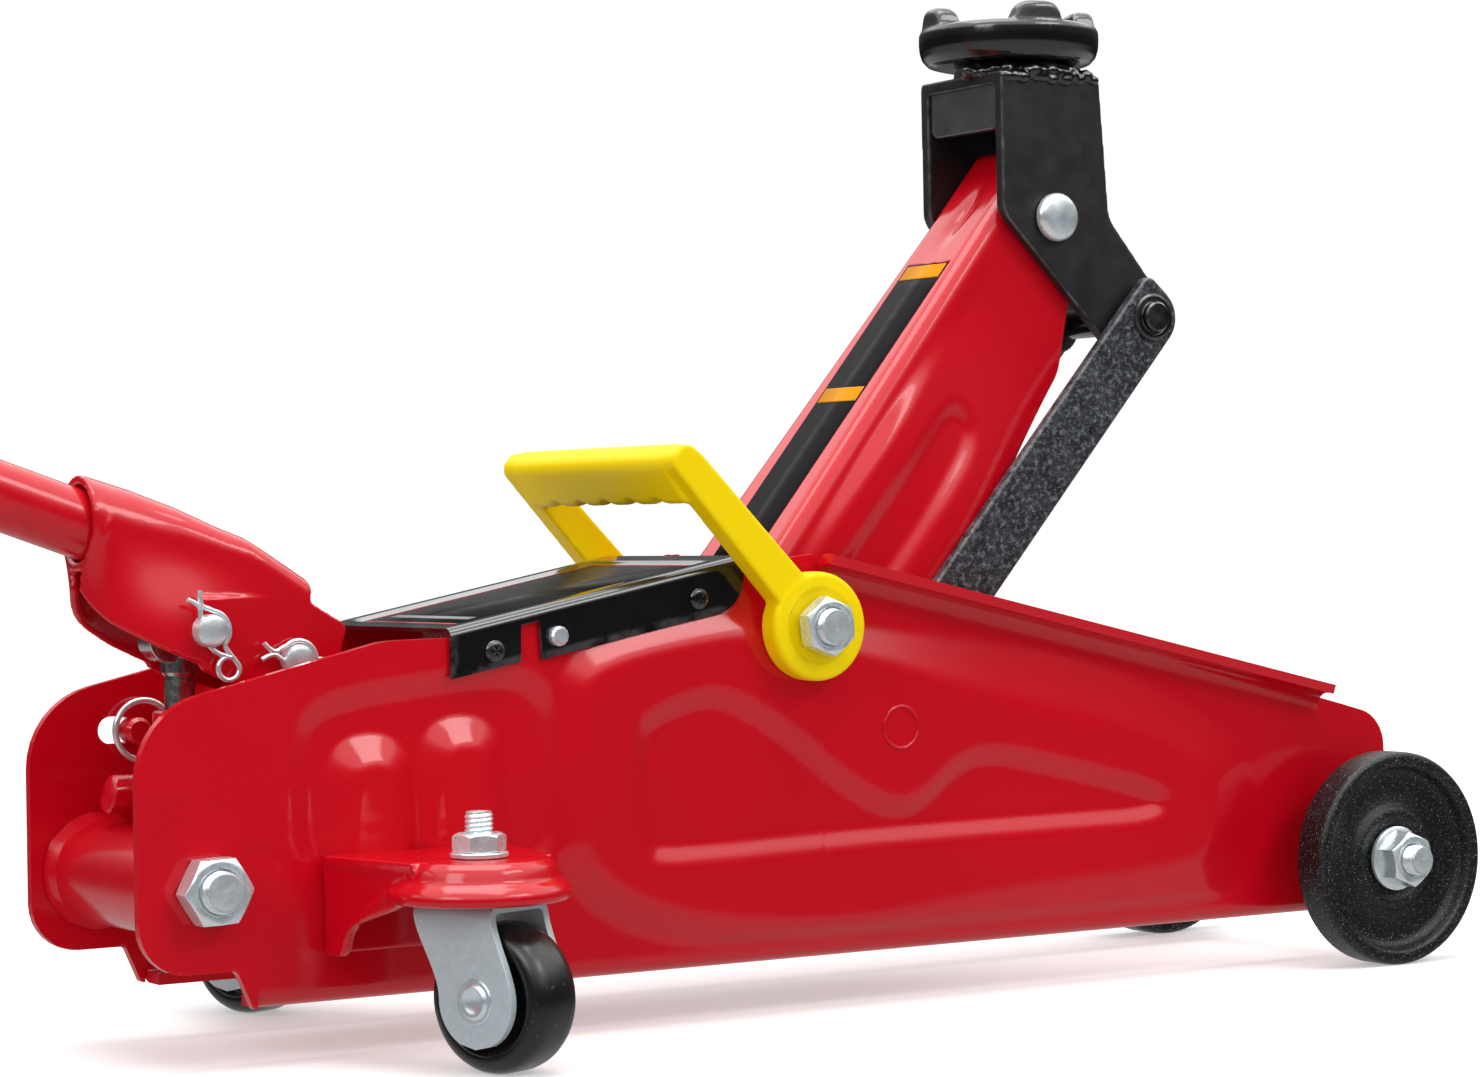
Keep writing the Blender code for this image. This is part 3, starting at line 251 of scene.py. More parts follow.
def zinc(name="zinc_plate", colour=(0.74, 0.82, 0.86), roughness=0.24):
    made = Finish(name, colour, roughness, metallic=0.6)
    made.tint(made.ramp(made.noise(110.0, 2.0), 0.4, 0.65, 0.0, 0.4), (0.80, 0.80, 0.76))
    made.tint(made.ramp(made.noise(260.0, 3.0), 0.55, 0.75, 0.0, 0.5), (0.50, 0.56, 0.72))
    made.vary_roughness(made.noise(300.0, 4.0), 0.3, 0.7, roughness * 0.7, roughness * 1.5)
    made.bump(made.noise(1400.0, 3.0), 0.00003, 0.5)
    return made.material


def fork_zinc():
    made = Finish("zinc_sheet", (0.56, 0.64, 0.68), 0.42, metallic=0.3)
    made.tint(made.ramp(made.cells(240.0), 0.2, 0.6, 0.0, 0.3), (0.54, 0.61, 0.64))
    made.tint(made.ramp(made.noise(900.0, 2.0), 0.62, 0.72, 0.0, 0.5), (0.74, 0.79, 0.80))
    made.vary_roughness(made.noise(500.0), 0.3, 0.7, 0.32, 0.55)
    made.bump(made.noise(1200.0, 3.0), 0.00006, 0.5)
    return made.material


def bright_steel():
    made = Finish("bright_steel", (0.55, 0.55, 0.56), 0.22, metallic=1.0)
    made.bump(made.noise(900.0, 2.0, stretch=(0.1, 1.0, 1.0)), 0.00004, 0.5)
    made.vary_roughness(made.noise(400.0), 0.3, 0.7, 0.16, 0.34)
    return made.material


def yellow_plastic():
    made = Finish("yellow_plastic", (1.0, 0.74, 0.0), 0.38, specular=0.12)
    made.tint(made.ramp(made.noise(30.0, 2.0), 0.4, 0.7, 0.0, 0.3), (1.0, 0.70, 0.0))
    made.vary_roughness(made.noise(200.0), 0.3, 0.7, 0.28, 0.42)
    made.bump(made.noise(900.0, 2.0), 0.00003, 0.4)
    return made.material


def grip_rubber():
    made = Finish("black_grip", (0.012, 0.012, 0.012), 0.7)
    made.bump(made.noise(1600.0, 2.0), 0.00010, 0.6)
    made.vary_roughness(made.noise(150.0), 0.3, 0.7, 0.6, 0.8)
    return made.material


def wheel_plastic():
    made = Finish("black_wheel", (0.008, 0.008, 0.008), 0.26)
    made.bump(made.noise(260.0, 2.0), 0.00015, 0.3)
    made.tint(made.ramp(made.noise(700.0), 0.66, 0.74, 0.0, 0.4), (0.16, 0.16, 0.16))
    made.vary_roughness(made.noise(90.0), 0.3, 0.7, 0.2, 0.36)
    return made.material


def flat_print(name, colour):
    """Ink of the plain stand-in stickers."""
    made = Finish(name, colour, 0.6, specular=0.04)
    made.bump(made.noise(900.0), 0.00002, 0.4)
    made.vary_roughness(made.noise(200.0), 0.3, 0.7, 0.28, 0.42)
    return made.material


RED = red_paint()
GLOSS = black_gloss()
SATIN = black_satin()
# The rear web's lighter grey is a painted reflection: it stands in for the sheen of its flat face.
WEB_SHEEN = black_gloss("web_painted_sheen", 0.3, 0.05)
HAMMERED = hammered()
CAST = cast_black()
ZINC = zinc()
FORK = fork_zinc()
STEEL = bright_steel()
YELLOW = yellow_plastic()
GRIP = grip_rubber()
WHEEL = wheel_plastic()
INK_BLACK = flat_print("sticker_black", (0.010, 0.010, 0.011))
INK_AMBER = flat_print("sticker_amber", (0.80, 0.32, 0.01))
INK_GREY = flat_print("sticker_grey", (0.30, 0.30, 0.30))


# ---- shape builders ---------------------------------------------------------
def rounded(corners, steps=8, closed=True):
    """An outline from (u, v, radius) corners, each corner replaced by an arc."""
    outline = []
    count = len(corners)
    for i, (u, v, radius) in enumerate(corners):
        corner = Vector((u, v))
        if radius == 0.0 or (not closed and i in (0, count - 1)):
            outline.append(corner)
            continue
        before = (Vector(corners[i - 1][:2]) - corner).normalized()
        after = (Vector(corners[(i + 1) % count][:2]) - corner).normalized()
        half = before.angle(after) / 2.0
        reach = radius / math.tan(half)
        centre = corner + (before + after).normalized() * radius / math.sin(half)
        first = corner + before * reach - centre
        sweep = first.angle_signed(corner + after * reach - centre)
        for step in range(steps + 1):
            outline.append(centre + Matrix.Rotation(-sweep * step / steps, 2) @ first)
    return outline


def soft(points, rounds=3):
    """A closed outline smoothed by cutting its corners."""
    outline = np.array(points, float)
    for _ in range(rounds):
        after = np.roll(outline, -1, axis=0)
        outline = np.stack([outline * 0.75 + after * 0.25, outline * 0.25 + after * 0.75], 1).reshape(-1, 2)
    return outline


def inside_by(u, v, outline):
    """Distance of each point to an outline, positive inside."""
    best = np.full(u.shape, np.inf)
    within = np.zeros(u.shape, bool)
    points = [tuple(point) for point in outline]
    for (u0, v0), (u1, v1) in zip(points, points[1:] + points[:1]):
        du, dv = u1 - u0, v1 - v0
        along = np.clip(((u - u0) * du + (v - v0) * dv) / (du * du + dv * dv + 1e-12), 0.0, 1.0)
        best = np.minimum(best, (u - u0 - along * du) ** 2 + (v - v0 - along * dv) ** 2)
        if v0 != v1:
            within ^= ((v0 > v) != (v1 > v)) & (u < (u1 - u0) * (v - v0) / (v1 - v0) + u0)
    return np.where(within, 1.0, -1.0) * np.sqrt(best)


def ease(value):
    """Smooth 0 to 1 step."""
    value = np.clip(value, 0.0, 1.0)
    return value * value * (3.0 - 2.0 * value)


def wall(value, soft_share=0.16):
    """0 to 1 straight ramp with small rounded ends."""
    def area(x):
        return 0.5 * np.clip(x, 0.0, 1.0) ** 2 + np.maximum(x - 1.0, 0.0)
    return (area(value + soft_share) - area(value - soft_share)) / (2.0 * soft_share)


def pressing(u, v, outline, height, width):
    """Height field of a pressed area whose wall is width wide."""
    return height * wall(inside_by(u, v, outline) / width + 0.5)


def span(side, near, far):
    return (near, far) if side > 0.0 else (-far, -near)


class Shape:
    """Points in millimetres and the faces between them."""

    def __init__(self):
        self.points = []
        self.faces = []

    def add(self, points, faces):
        start = len(self.points)
        self.points.extend(tuple(float(c) for c in point) for point in points)
        self.faces.extend(tuple(start + i for i in face) for face in faces)
        return self

    def grid(self, rows, around=False, caps=False):
        """A surface through rows of points."""
        rows = np.asarray(rows, float)
        n, m = rows.shape[:2]
        faces = [(i * m + j, i * m + (j + 1) % m, (i + 1) * m + (j + 1) % m, (i + 1) * m + j)
                 for i in range(n - 1) for j in range(m if around else m - 1)]
        if caps:
            faces += [tuple(reversed(range(m))), tuple((n - 1) * m + j for j in range(m))]
        return self.add(rows.reshape(-1, 3), faces)

    def lathe(self, profile, point, axis, steps=96, closed=False, relief=None):
        """Revolves (radius, height) pairs about an axis. relief(angle, height) adds to the radius."""
        turn = Vector(axis).to_track_quat("Z", "Y").to_matrix()
        point = Vector(point)
        rows = []
        for radius, height in list(profile) + ([profile[0]] if closed else []):
            row = []
            for step in range(steps):
                angle = math.tau * step / steps
                r = radius + (relief(angle, height) if relief and radius > 0.0 else 0.0)
                row.append(point + turn @ Vector((r * math.cos(angle), r * math.sin(angle), height)))
            rows.append(row)
        return self.grid(rows, around=True)

    def prism(self, outline, low, high, plane="XZ", matrix=None):
        """A flat outline given a thickness along the third axis."""
        order = {"XZ": lambda u, v, w: (u, w, v), "XY": lambda u, v, w: (u, v, w),
                 "YZ": lambda u, v, w: (w, u, v)}[plane]
        count = len(outline)
        points = [order(p[0], p[1], w) for w in (low, high) for p in outline]
        if matrix is not None:
            points = [matrix @ Vector(point) for point in points]
        faces = [tuple(range(count)), tuple(reversed(range(count, 2 * count)))]
        faces += [(i, i + count, (i + 1) % count + count, (i + 1) % count) for i in range(count)]
        return self.add(points, faces)

    def ball(self, centre, radius, squash=(1.0, 1.0, 1.0)):
        bm = bmesh.new()
        bmesh.ops.create_icosphere(bm, subdivisions=2, radius=radius)
        points = [Vector(centre) + Vector((v.co.x * squash[0], v.co.y * squash[1], v.co.z * squash[2]))
                  for v in bm.verts]
        faces = [[v.index for v in face.verts] for face in bm.faces]
        bm.free()
        return self.add(points, faces)

    def make(self, name, material, body, replaces=(), mirror=False, sheet=0.0, bevel=0.0,
             segments=2, voxel=0.0, smooth=0, angle=38.0):
        """Makes the object, in metres, and lets it ride on a CAD body."""
        flip = -1.0 if mirror else 1.0
        points = [(x * MM + AXLE_X, flip * y * MM, z * MM) for x, y, z in self.points]
        mesh = bpy.data.meshes.new(name)
        mesh.from_pydata(points, [], self.faces)
        bm = bmesh.new()
        bm.from_mesh(mesh)
        bmesh.ops.remove_doubles(bm, verts=bm.verts, dist=0.000002)
        bmesh.ops.dissolve_degenerate(bm, edges=bm.edges, dist=0.000001)
        bmesh.ops.recalc_face_normals(bm, faces=bm.faces)
        bm.to_mesh(mesh)
        bm.free()
        mesh.shade_smooth()
        if not voxel:
            mesh.set_sharp_from_angle(angle=math.radians(angle))
        mesh.materials.append(material)
        piece = bpy.data.objects.new(name, mesh)
        bpy.context.scene.collection.objects.link(piece)
        polish(piece, sheet, bevel, segments, voxel, smooth)
        if body is not None:
            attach(piece, body)
        if replaces:
            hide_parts(*replaces)
        return piece


def polish(piece, sheet=0.0, bevel=0.0, segments=2, voxel=0.0, smooth=0):
    """Thickness, softened edges or a fused and smoothed skin, in millimetres."""
    if sheet:
        solid = piece.modifiers.new("sheet", "SOLIDIFY")
        solid.thickness = sheet * MM
        solid.offset = 0.0
        solid.use_even_offset = True
    if voxel:
        fused = piece.modifiers.new("fused", "REMESH")
        fused.mode = "VOXEL"
        fused.voxel_size = voxel * MM
        fused.use_smooth_shade = True
    if smooth:
        eased = piece.modifiers.new("eased", "SMOOTH")
        eased.factor = 0.5
        eased.iterations = smooth
    if bevel:
        edge = piece.modifiers.new("edges", "BEVEL")
        edge.width = bevel * MM
        edge.segments = segments
        edge.limit_method = "ANGLE"
        edge.angle_limit = math.radians(40.0)
        edge.use_clamp_overlap = True
        piece.modifiers.new("normals", "WEIGHTED_NORMAL").keep_sharp = True


def refine(node, material, voxel=0.0, smooth=0):
    """Keeps a CAD node and gives it its finish and, where asked, a fused soft skin."""
    piece = frame["nodes"][node]
    piece.data.materials.clear()
    piece.data.materials.append(material)
    if voxel:
        weld = piece.modifiers.new("weld", "WELD")
        weld.merge_threshold = 0.000002
        polish(piece, voxel=voxel, smooth=smooth)


def arc(centre, radius, start, end, steps):
    """Points (u, v) on an arc, with angles in degrees."""
    return [(centre[0] + radius * math.cos(math.radians(start + (end - start) * i / steps)),
             centre[1] + radius * math.sin(math.radians(start + (end - start) * i / steps)))
            for i in range(steps + 1)]


def wire(name, points, radius, material, body, replaces=(), closed=False):
    """A round bent wire through points in millimetres."""
    curve = bpy.data.curves.new(name, "CURVE")
    curve.dimensions = "3D"
    curve.bevel_depth = radius * MM
    curve.bevel_resolution = 4
    curve.use_fill_caps = not closed
    curve.resolution_u = 4
    spline = curve.splines.new("NURBS")
    spline.points.add(len(points) - 1)
    for point, place in zip(spline.points, points):
        point.co = (place[0] * MM + AXLE_X, place[1] * MM, place[2] * MM, 1.0)
    spline.order_u = 3
    spline.use_cyclic_u = closed
    spline.use_endpoint_u = not closed
    bent = bpy.data.objects.new(name, curve)
    bpy.context.scene.collection.objects.link(bent)
    bpy.context.view_layer.update()
    mesh = bpy.data.meshes.new_from_object(bent.evaluated_get(bpy.context.evaluated_depsgraph_get()))
    bpy.data.objects.remove(bent, do_unlink=True)
    mesh.shade_smooth()
    mesh.materials.clear()
    mesh.materials.append(material)
    piece = bpy.data.objects.new(name, mesh)
    bpy.context.scene.collection.objects.link(piece)
    if body is not None:
        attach(piece, body)
    if replaces:
        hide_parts(*replaces)
    return piece


# ---- fasteners --------------------------------------------------------------
def thread(shape, radius, pitch, start, length, axis):
    """An outside thread with a chamfered, ringed end."""
    turn = Vector(axis).to_track_quat("Z", "Y").to_matrix()
    depth = pitch * 0.42
    steps = 48
    rows = []
    count = max(4, int(length / pitch * 8))
    for i in range(count + 1):
        height = length * i / count
        row = []
        for step in range(steps):
            angle = math.tau * step / steps
            phase = (height / pitch - step / steps) % 1.0
            ridge = abs(phase * 2.0 - 1.0)
            tip = min(1.0, (length - height) / (pitch * 0.9) + 0.1)
            r = radius - depth * (1.0 - ridge) * tip - (1.0 - tip) * depth * 1.1
            row.append(Vector(start) + turn @ Vector((r * math.cos(angle), r * math.sin(angle), height)))
        rows.append(row)
    for r, dip in ((0.86, 0.25), (0.74, 0.3), (0.62, 0.12), (0.45, 0.28), (0.3, 0.1), (0.12, 0.3), (0.0, 0.3)):
        rows.append([Vector(start) + turn @ Vector((radius * r * math.cos(math.tau * s / steps),
                                                    radius * r * math.sin(math.tau * s / steps),
                                                    length + 0.35 - dip)) for s in range(steps)])
    shape.grid(rows, around=True)


def nut(shape, centre, axis, across, height, hole, turn=0.0, base=None):
    """A chamfered hexagon nut. centre is the middle of its base."""
    rotate = Vector(axis).to_track_quat("Z", "Y").to_matrix()
    half = across / 2.0
    steps = 96
    rows = []

    def ring(radius_of, height_of):
        row = []
        for step in range(steps):
            angle = math.tau * step / steps
            flat = half / math.cos((angle + math.radians(30.0)) % math.radians(60.0) - math.radians(30.0))
            r = radius_of(flat)
            place = Vector((r * math.cos(angle + turn), r * math.sin(angle + turn), height_of(r)))
            row.append(Vector(centre) + rotate @ place)
        rows.append(row)

    def crown(r):
        return height - max(0.0, r - half * 0.94) * math.tan(math.radians(30.0))

    def foot(r):
        return max(0.0, r - half * 0.96) * math.tan(math.radians(24.0))

    ring(lambda flat: hole, lambda r: foot(r))
    ring(lambda flat: half * 0.96, foot)
    ring(lambda flat: flat - 0.15, foot)
    ring(lambda flat: flat, lambda r: foot(r) + 0.15)
    ring(lambda flat: flat, lambda r: crown(r) - 0.15)
    ring(lambda flat: flat - 0.15, crown)
    ring(lambda flat: half * 0.94 + (flat - half) * 0.3, crown)
    ring(lambda flat: half * 0.90, crown)
    ring(lambda flat: hole + 0.9, crown)
    ring(lambda flat: hole, lambda r: height - 0.9)
    ring(lambda flat: hole, lambda r: foot(r))
    shape.grid(rows, around=True)
    if base is not None:
        radius, thick = base
        shape.lathe([(hole, -0.2), (radius - 0.4, -0.2), (radius, 0.2), (radius, thick - 0.3),
                     (radius - 0.6, thick), (half, thick + 0.4), (hole, thick + 0.4)], centre, axis, 72,
                    closed=True)


def fasteners():
    """Nuts and threaded ends on the tie rod, axle and lift shaft."""
    rows = (("rear", TIE, low_mm("rear_nut_left").y, high_mm("rear_nut_left").y, 17.8, 6.0, 1.75, "rear_tie_rod", None),
            ("axle", AXLE, low_mm("axle_nut_left").y, high_mm("axle_nut_left").y, 16.0, 5.0, 1.5, "front_axle",
             (10.5, 1.6)),
            ("shaft", ARM, low_mm("shaft_nut_left").y, high_mm("shaft_nut_left").y, 15.8, 5.6, 1.75, "lift_shaft",
             None))
    for name, place, near, far, across, radius, pitch, rod, base in rows:
        end = high_mm(rod).y
        bar = Shape()
        for side_name, side in SIDES.items():
            axis = (0.0, side, 0.0)
            made = Shape()
            nut(made, (place.x, side * near, place.z), axis, across, far - near, radius + 0.1,
                math.radians(32.0 if name == "rear" else 8.0), base)
            made.make("%s_nut_%s_fine" % (name, side_name), ZINC, "chassis",
                      ("%s_nut_%s" % (name, side_name),), angle=28.0)
            thread(bar, radius, pitch, (place.x, side * (far - 4.0), place.z), end - far + 3.65, axis)
        bar.lathe([(0.0, 4.0 - far), (radius - 0.5, 4.0 - far), (radius - 0.5, far - 4.0), (0.0, far - 4.0)],
                  (place.x, 0.0, place.z), (0, 1, 0), 48)
        bar.make(rod + "_fine", ZINC, "chassis", (rod,), angle=28.0)


# ---- side plates ------------------------------------------------------------
LIP_START = -213.0
LIP_END = -12.5
BEND = 3.5
LIP_BEND = 7.0
BULGE = soft([(-299, 22), (-300, 98), (-296, 107), (-285, 112), (-262, 116.5), (-237, 119), (-200, 112.5),
              (-169, 106), (-106, 94), (-70, 80), (-54, 69), (-49, 52), (-55, 36), (-72, 24)], 3)
WINDOW = soft([(-276, 52), (-277, 88), (-270, 93), (-252, 98), (-240, 94), (-222, 83), (-206, 70), (-188, 60),
               (-176, 62), (-163, 73), (-150, 76), (-130, 72), (-92, 63), (-80, 58), (-84, 52.5), (-120, 52.5),
               (-200, 52), (-266, 50)], 2)
REAR_RECESS = soft([(-384, 44), (-385, 88), (-380, 98), (-366, 101.5), (-340, 104.5), (-318, 106), (-307, 101),
                    (-303, 90), (-302, 44)], 3)
RIBS = [soft([(x - 10.5, 40), (x - 10.5, top - 6), (x - 6, top + 2), (x + 6, top + 2), (x + 10.5, top - 6),
              (x + 10.5, 40)], 3) for x, top in ((-362.5, 84.0), (-333.5, 88.0))]


def lip_top(x):
    return 138.9 - 0.232 * (x - LIP_START)


def plate_relief(x, z):
    """How far the pressed sheet stands out from the flat web."""
    out = pressing(x, z, BULGE, 3.6, 9.0 + 10.0 * ease((x + 215.0) / 90.0))
    out -= pressing(x, z, WINDOW, 2.2, 5.5)
    out -= pressing(x, z, REAR_RECESS, 2.0, 6.0)
    ribs = np.maximum(*(pressing(x, z, rib, 4.4, 9.0) for rib in RIBS))
    return out + ribs


def side_plate(side_name):
    """The pressed plate: web with its panels, rolled bottom flange and bent-out top lip."""
    top = rounded([(-432.5, 70, 0), (-432.5, 99.0, 24), (-358.0, 116.4, 30), (-337.0, 116.8, 10),
                   (-235.0, 136.2, 10), (LIP_START, 138.6, 0)], closed=False)
    front = rounded([(LIP_END + 0.2, 87.8, 0), (-2.0, 85.2, 6), (16.7, 80.2, 13), (16.7, 60, 0)], closed=False)
    bottom = rounded([(-432.5, 60, 0), (-432.5, 27.4, 14), (-404.0, 27.4, 2.5), (-399.2, 16.4, 1.5),
                      (16.7, 16.4, 12), (16.7, 50, 0)], closed=False)
    middle_out = PLATE_OUT - SHEET / 2.0
    xs = np.unique(np.round(np.concatenate([
        [p.x for p in top + front + bottom], np.arange(-431, 16, 1.5),
        [LIP_START + 0.01, LIP_END, -397.5, 4.0]]), 2))
    xs = xs[np.concatenate([[True], np.diff(xs) > 0.04])]
    high = np.where(xs <= LIP_START, np.interp(xs, [p.x for p in top], [p.y for p in top]),
                    np.interp(xs, [p.x for p in front], [p.y for p in front]))
    lipped = (xs > LIP_START) & (xs <= LIP_END)
    high = np.where(lipped, lip_top(xs) - SHEET / 2.0 - LIP_BEND, high)
    low = np.interp(xs, [p.x for p in bottom], [p.y for p in bottom])
    flanged = (xs >= -397.5) & (xs <= 4.0)
    low = np.where(flanged, 16.4 + SHEET / 2.0 + BEND, low)
    part = np.linspace(0.0, 1.0, 76)[None, :]
    z = low[:, None] + (high - low)[:, None] * part
    x = np.repeat(xs[:, None], part.shape[1], 1)
    edge = ease((z - low[:, None]) / 6.0) * ease((high[:, None] - z) / 6.0)
    out = middle_out + plate_relief(x, z) * edge
    shape = Shape().grid(np.stack([x, -out, z], 2))

    lip = []
    foot = []
    for angle in np.radians(np.linspace(0.0, 90.0, 7)):
        lip.append((middle_out + LIP_BEND * (1.0 - math.cos(angle)), LIP_BEND * math.sin(angle) - LIP_BEND))
        foot.append((middle_out - BEND * (1.0 - math.cos(angle)), BEND - BEND * math.sin(angle)))
    lip += [(middle_out + LIP_BEND + 1.6, -0.1), (49.0, -0.3)]
    foot += [(middle_out - BEND - 2.3, 0.0), (28.5, 0.0)]
    for which, rows, level in ((lipped, lip, lambda x: lip_top(x) - SHEET / 2.0),
                               (flanged, foot, lambda x: 16.4 + SHEET / 2.0 + 0.0 * x)):
        along = xs[which]
        shape.grid([[(x, -o, level(x) + rise) for o, rise in rows] for x in along])
    piece = shape.make("side_plate_%s_skin" % side_name, RED, "chassis", ("side_plate_" + side_name,),
                       mirror=side_name == "left", sheet=SHEET)
    if side_name == "left":
        slot = Shape().prism(rounded([(-411.5, 86.5, 3.9), (-411.5, 94.5, 3.9), (-400.5, 94.5, 3.9),
                                      (-400.5, 86.5, 3.9)]), 30.0, 52.0)
        cut_through(piece, slot)
    polish(piece, bevel=0.6)
    return piece


def cut_through(piece, cutter_shape):
    """Cuts a shape out of a piece and applies the result."""
    cutter = cutter_shape.make("cutter", RED, None)
    modifier = piece.modifiers.new("cut", "BOOLEAN")
    modifier.operation = "DIFFERENCE"
    modifier.solver = "EXACT"
    modifier.object = cutter
    bpy.context.view_layer.update()
    evaluated = piece.evaluated_get(bpy.context.evaluated_depsgraph_get())
    mesh = bpy.data.meshes.new_from_object(evaluated)
    piece.modifiers.clear()
    piece.data = mesh
    bpy.data.objects.remove(cutter, do_unlink=True)


def press_marks():
    """A small round press mark on each plate, above the window."""
    for side_name, side in SIDES.items():
        x, z = -184.1, 85.2
        ring = []
        for step in range(49):
            angle = math.tau * step / 48
            px = x + 6.4 * math.cos(angle)
            pz = z + 6.4 * math.sin(angle)
            out = PLATE_OUT + float(plate_relief(np.array([px]), np.array([pz]))[0]) + 0.05
            ring.append((px, side * out, pz))
        wire("press_mark_" + side_name, ring[:-1], 0.5, RED, "chassis", closed=True)


# ---- cover ------------------------------------------------------------------
def cover_top(x):
    return 121.2 + 0.1948 * (x + 328.0)


def cover():
    """Folded sheet cover with skirts, a recessed top panel and its plain bordered sticker."""
    sheet = 1.2
    side = high_mm("cover_plate").y - sheet / 2.0
    bend = 2.2
    xs = np.unique(np.concatenate([np.linspace(-337.5, -239.0, 66), [-315.0, -314.9, -308.0, -307.9],
                                   np.linspace(-248.0, -239.0, 12)]))
    rows = []
    for x in xs:
        top = cover_top(x) - sheet / 2.0
        drop = 13.8 if x <= -315.0 else (14.8 if x >= -308.0 else bend + 1.2)
        if x > -248.0:
            drop = 14.8 - (9.0 - math.sqrt(max(0.0, 81.0 - (x + 248.0) ** 2)))
            drop = max(drop, bend + 0.5)
        skirt = [(side, top - drop + (drop - bend) * i / 8) for i in range(8)]
        fold = arc((side - bend, top - bend), bend, 0, 90, 6)
        across = [(side - bend - (side - bend) * i / 16, top) for i in range(1, 17)]
        half = skirt + fold + across
        section = [(-y, z) for y, z in half] + [(y, z) for y, z in reversed(half[:-1])]
        row = []
        for y, z in section:
            recess = 0.0
            if z >= top - 0.001:
                inset = min(x + 332.0, -246.0 - x, 33.0 - abs(y))
                recess = 0.9 * float(ease(np.array(inset / 1.6)))
            row.append((x, y, z - recess))
        rows.append(row)
    Shape().grid(rows).make("cover_skin", GLOSS, "chassis", ("cover_plate",), sheet=sheet, bevel=0.25, segments=1)

    low_x, high_x, half = -329.0, -249.0, 30.5

    def level(x, lift):
        return cover_top(x) - 0.9 + lift

    def patch(name, material, x0, x1, y0, y1, lift):
        shape = Shape()
        shape.add([(x0, y0, level(x0, lift)), (x1, y0, level(x1, lift)), (x1, y1, level(x1, lift)),
                   (x0, y1, level(x0, lift))], [(0, 1, 2, 3)])
        shape.make(name, material, "chassis", sheet=0.08)

    patch("cover_sticker", INK_BLACK, low_x, high_x, -half, half, 0.05)
    for number, (x0, x1, y0, y1) in enumerate(((low_x, low_x + 0.9, -half, half), (high_x - 0.9, high_x, -half, half),
                                               (low_x, high_x, -half, 0.9 - half), (low_x, high_x, half - 0.9, half))):
        patch("cover_border_%d" % number, RED, x0, x1, y0, y1, 0.14)
    patch("cover_band", INK_GREY, low_x + 6.0, low_x + 9.0, 6.0 - half, half - 6.0, 0.14)


def cover_screws():
    """Pan-head screws on the skirts."""
    for node in ("cover_screw_1", "cover_screw_2", "cover_screw_3", "cover_screw_4"):
        place = spot(middle(node))
        side = math.copysign(1.0, place.y)
        out = high_mm("cover_plate").y
        shape = Shape()
        axis = (0.0, side, 0.0)
        profile = [(1.6, -4.0), (1.6, 0.0), (2.9, 0.0), (3.1, 0.25), (2.8, 0.7), (2.0, 1.0), (1.2, 1.05),
                   (1.0, 0.5), (0.0, 0.45)]
        shape.lathe(list(reversed(profile)), (place.x, side * (out + 0.05), place.z), axis, 40)
        for quarter in range(2):
            turn = Matrix.Translation((place.x, side * (out + 1.0), place.z)) @ Matrix.Rotation(
                math.radians(45.0 + 90.0 * quarter), 4, "Y")
            shape.prism([(-1.7, -0.28), (1.7, -0.28), (1.7, 0.28), (-1.7, 0.28)], -0.12, 0.12, matrix=turn)
        shape.make(node + "_fine", GLOSS, "chassis", (node,))


# ---- lift arm ---------------------------------------------------------------
ARM_TO_WORLD = Matrix.Translation((ARM.x, 0.0, ARM.z)) @ Matrix.Rotation(-ARM_ANGLE, 4, "Y")


def arm_point(along, side, above):
    return ARM_TO_WORLD @ Vector((along, side, above))


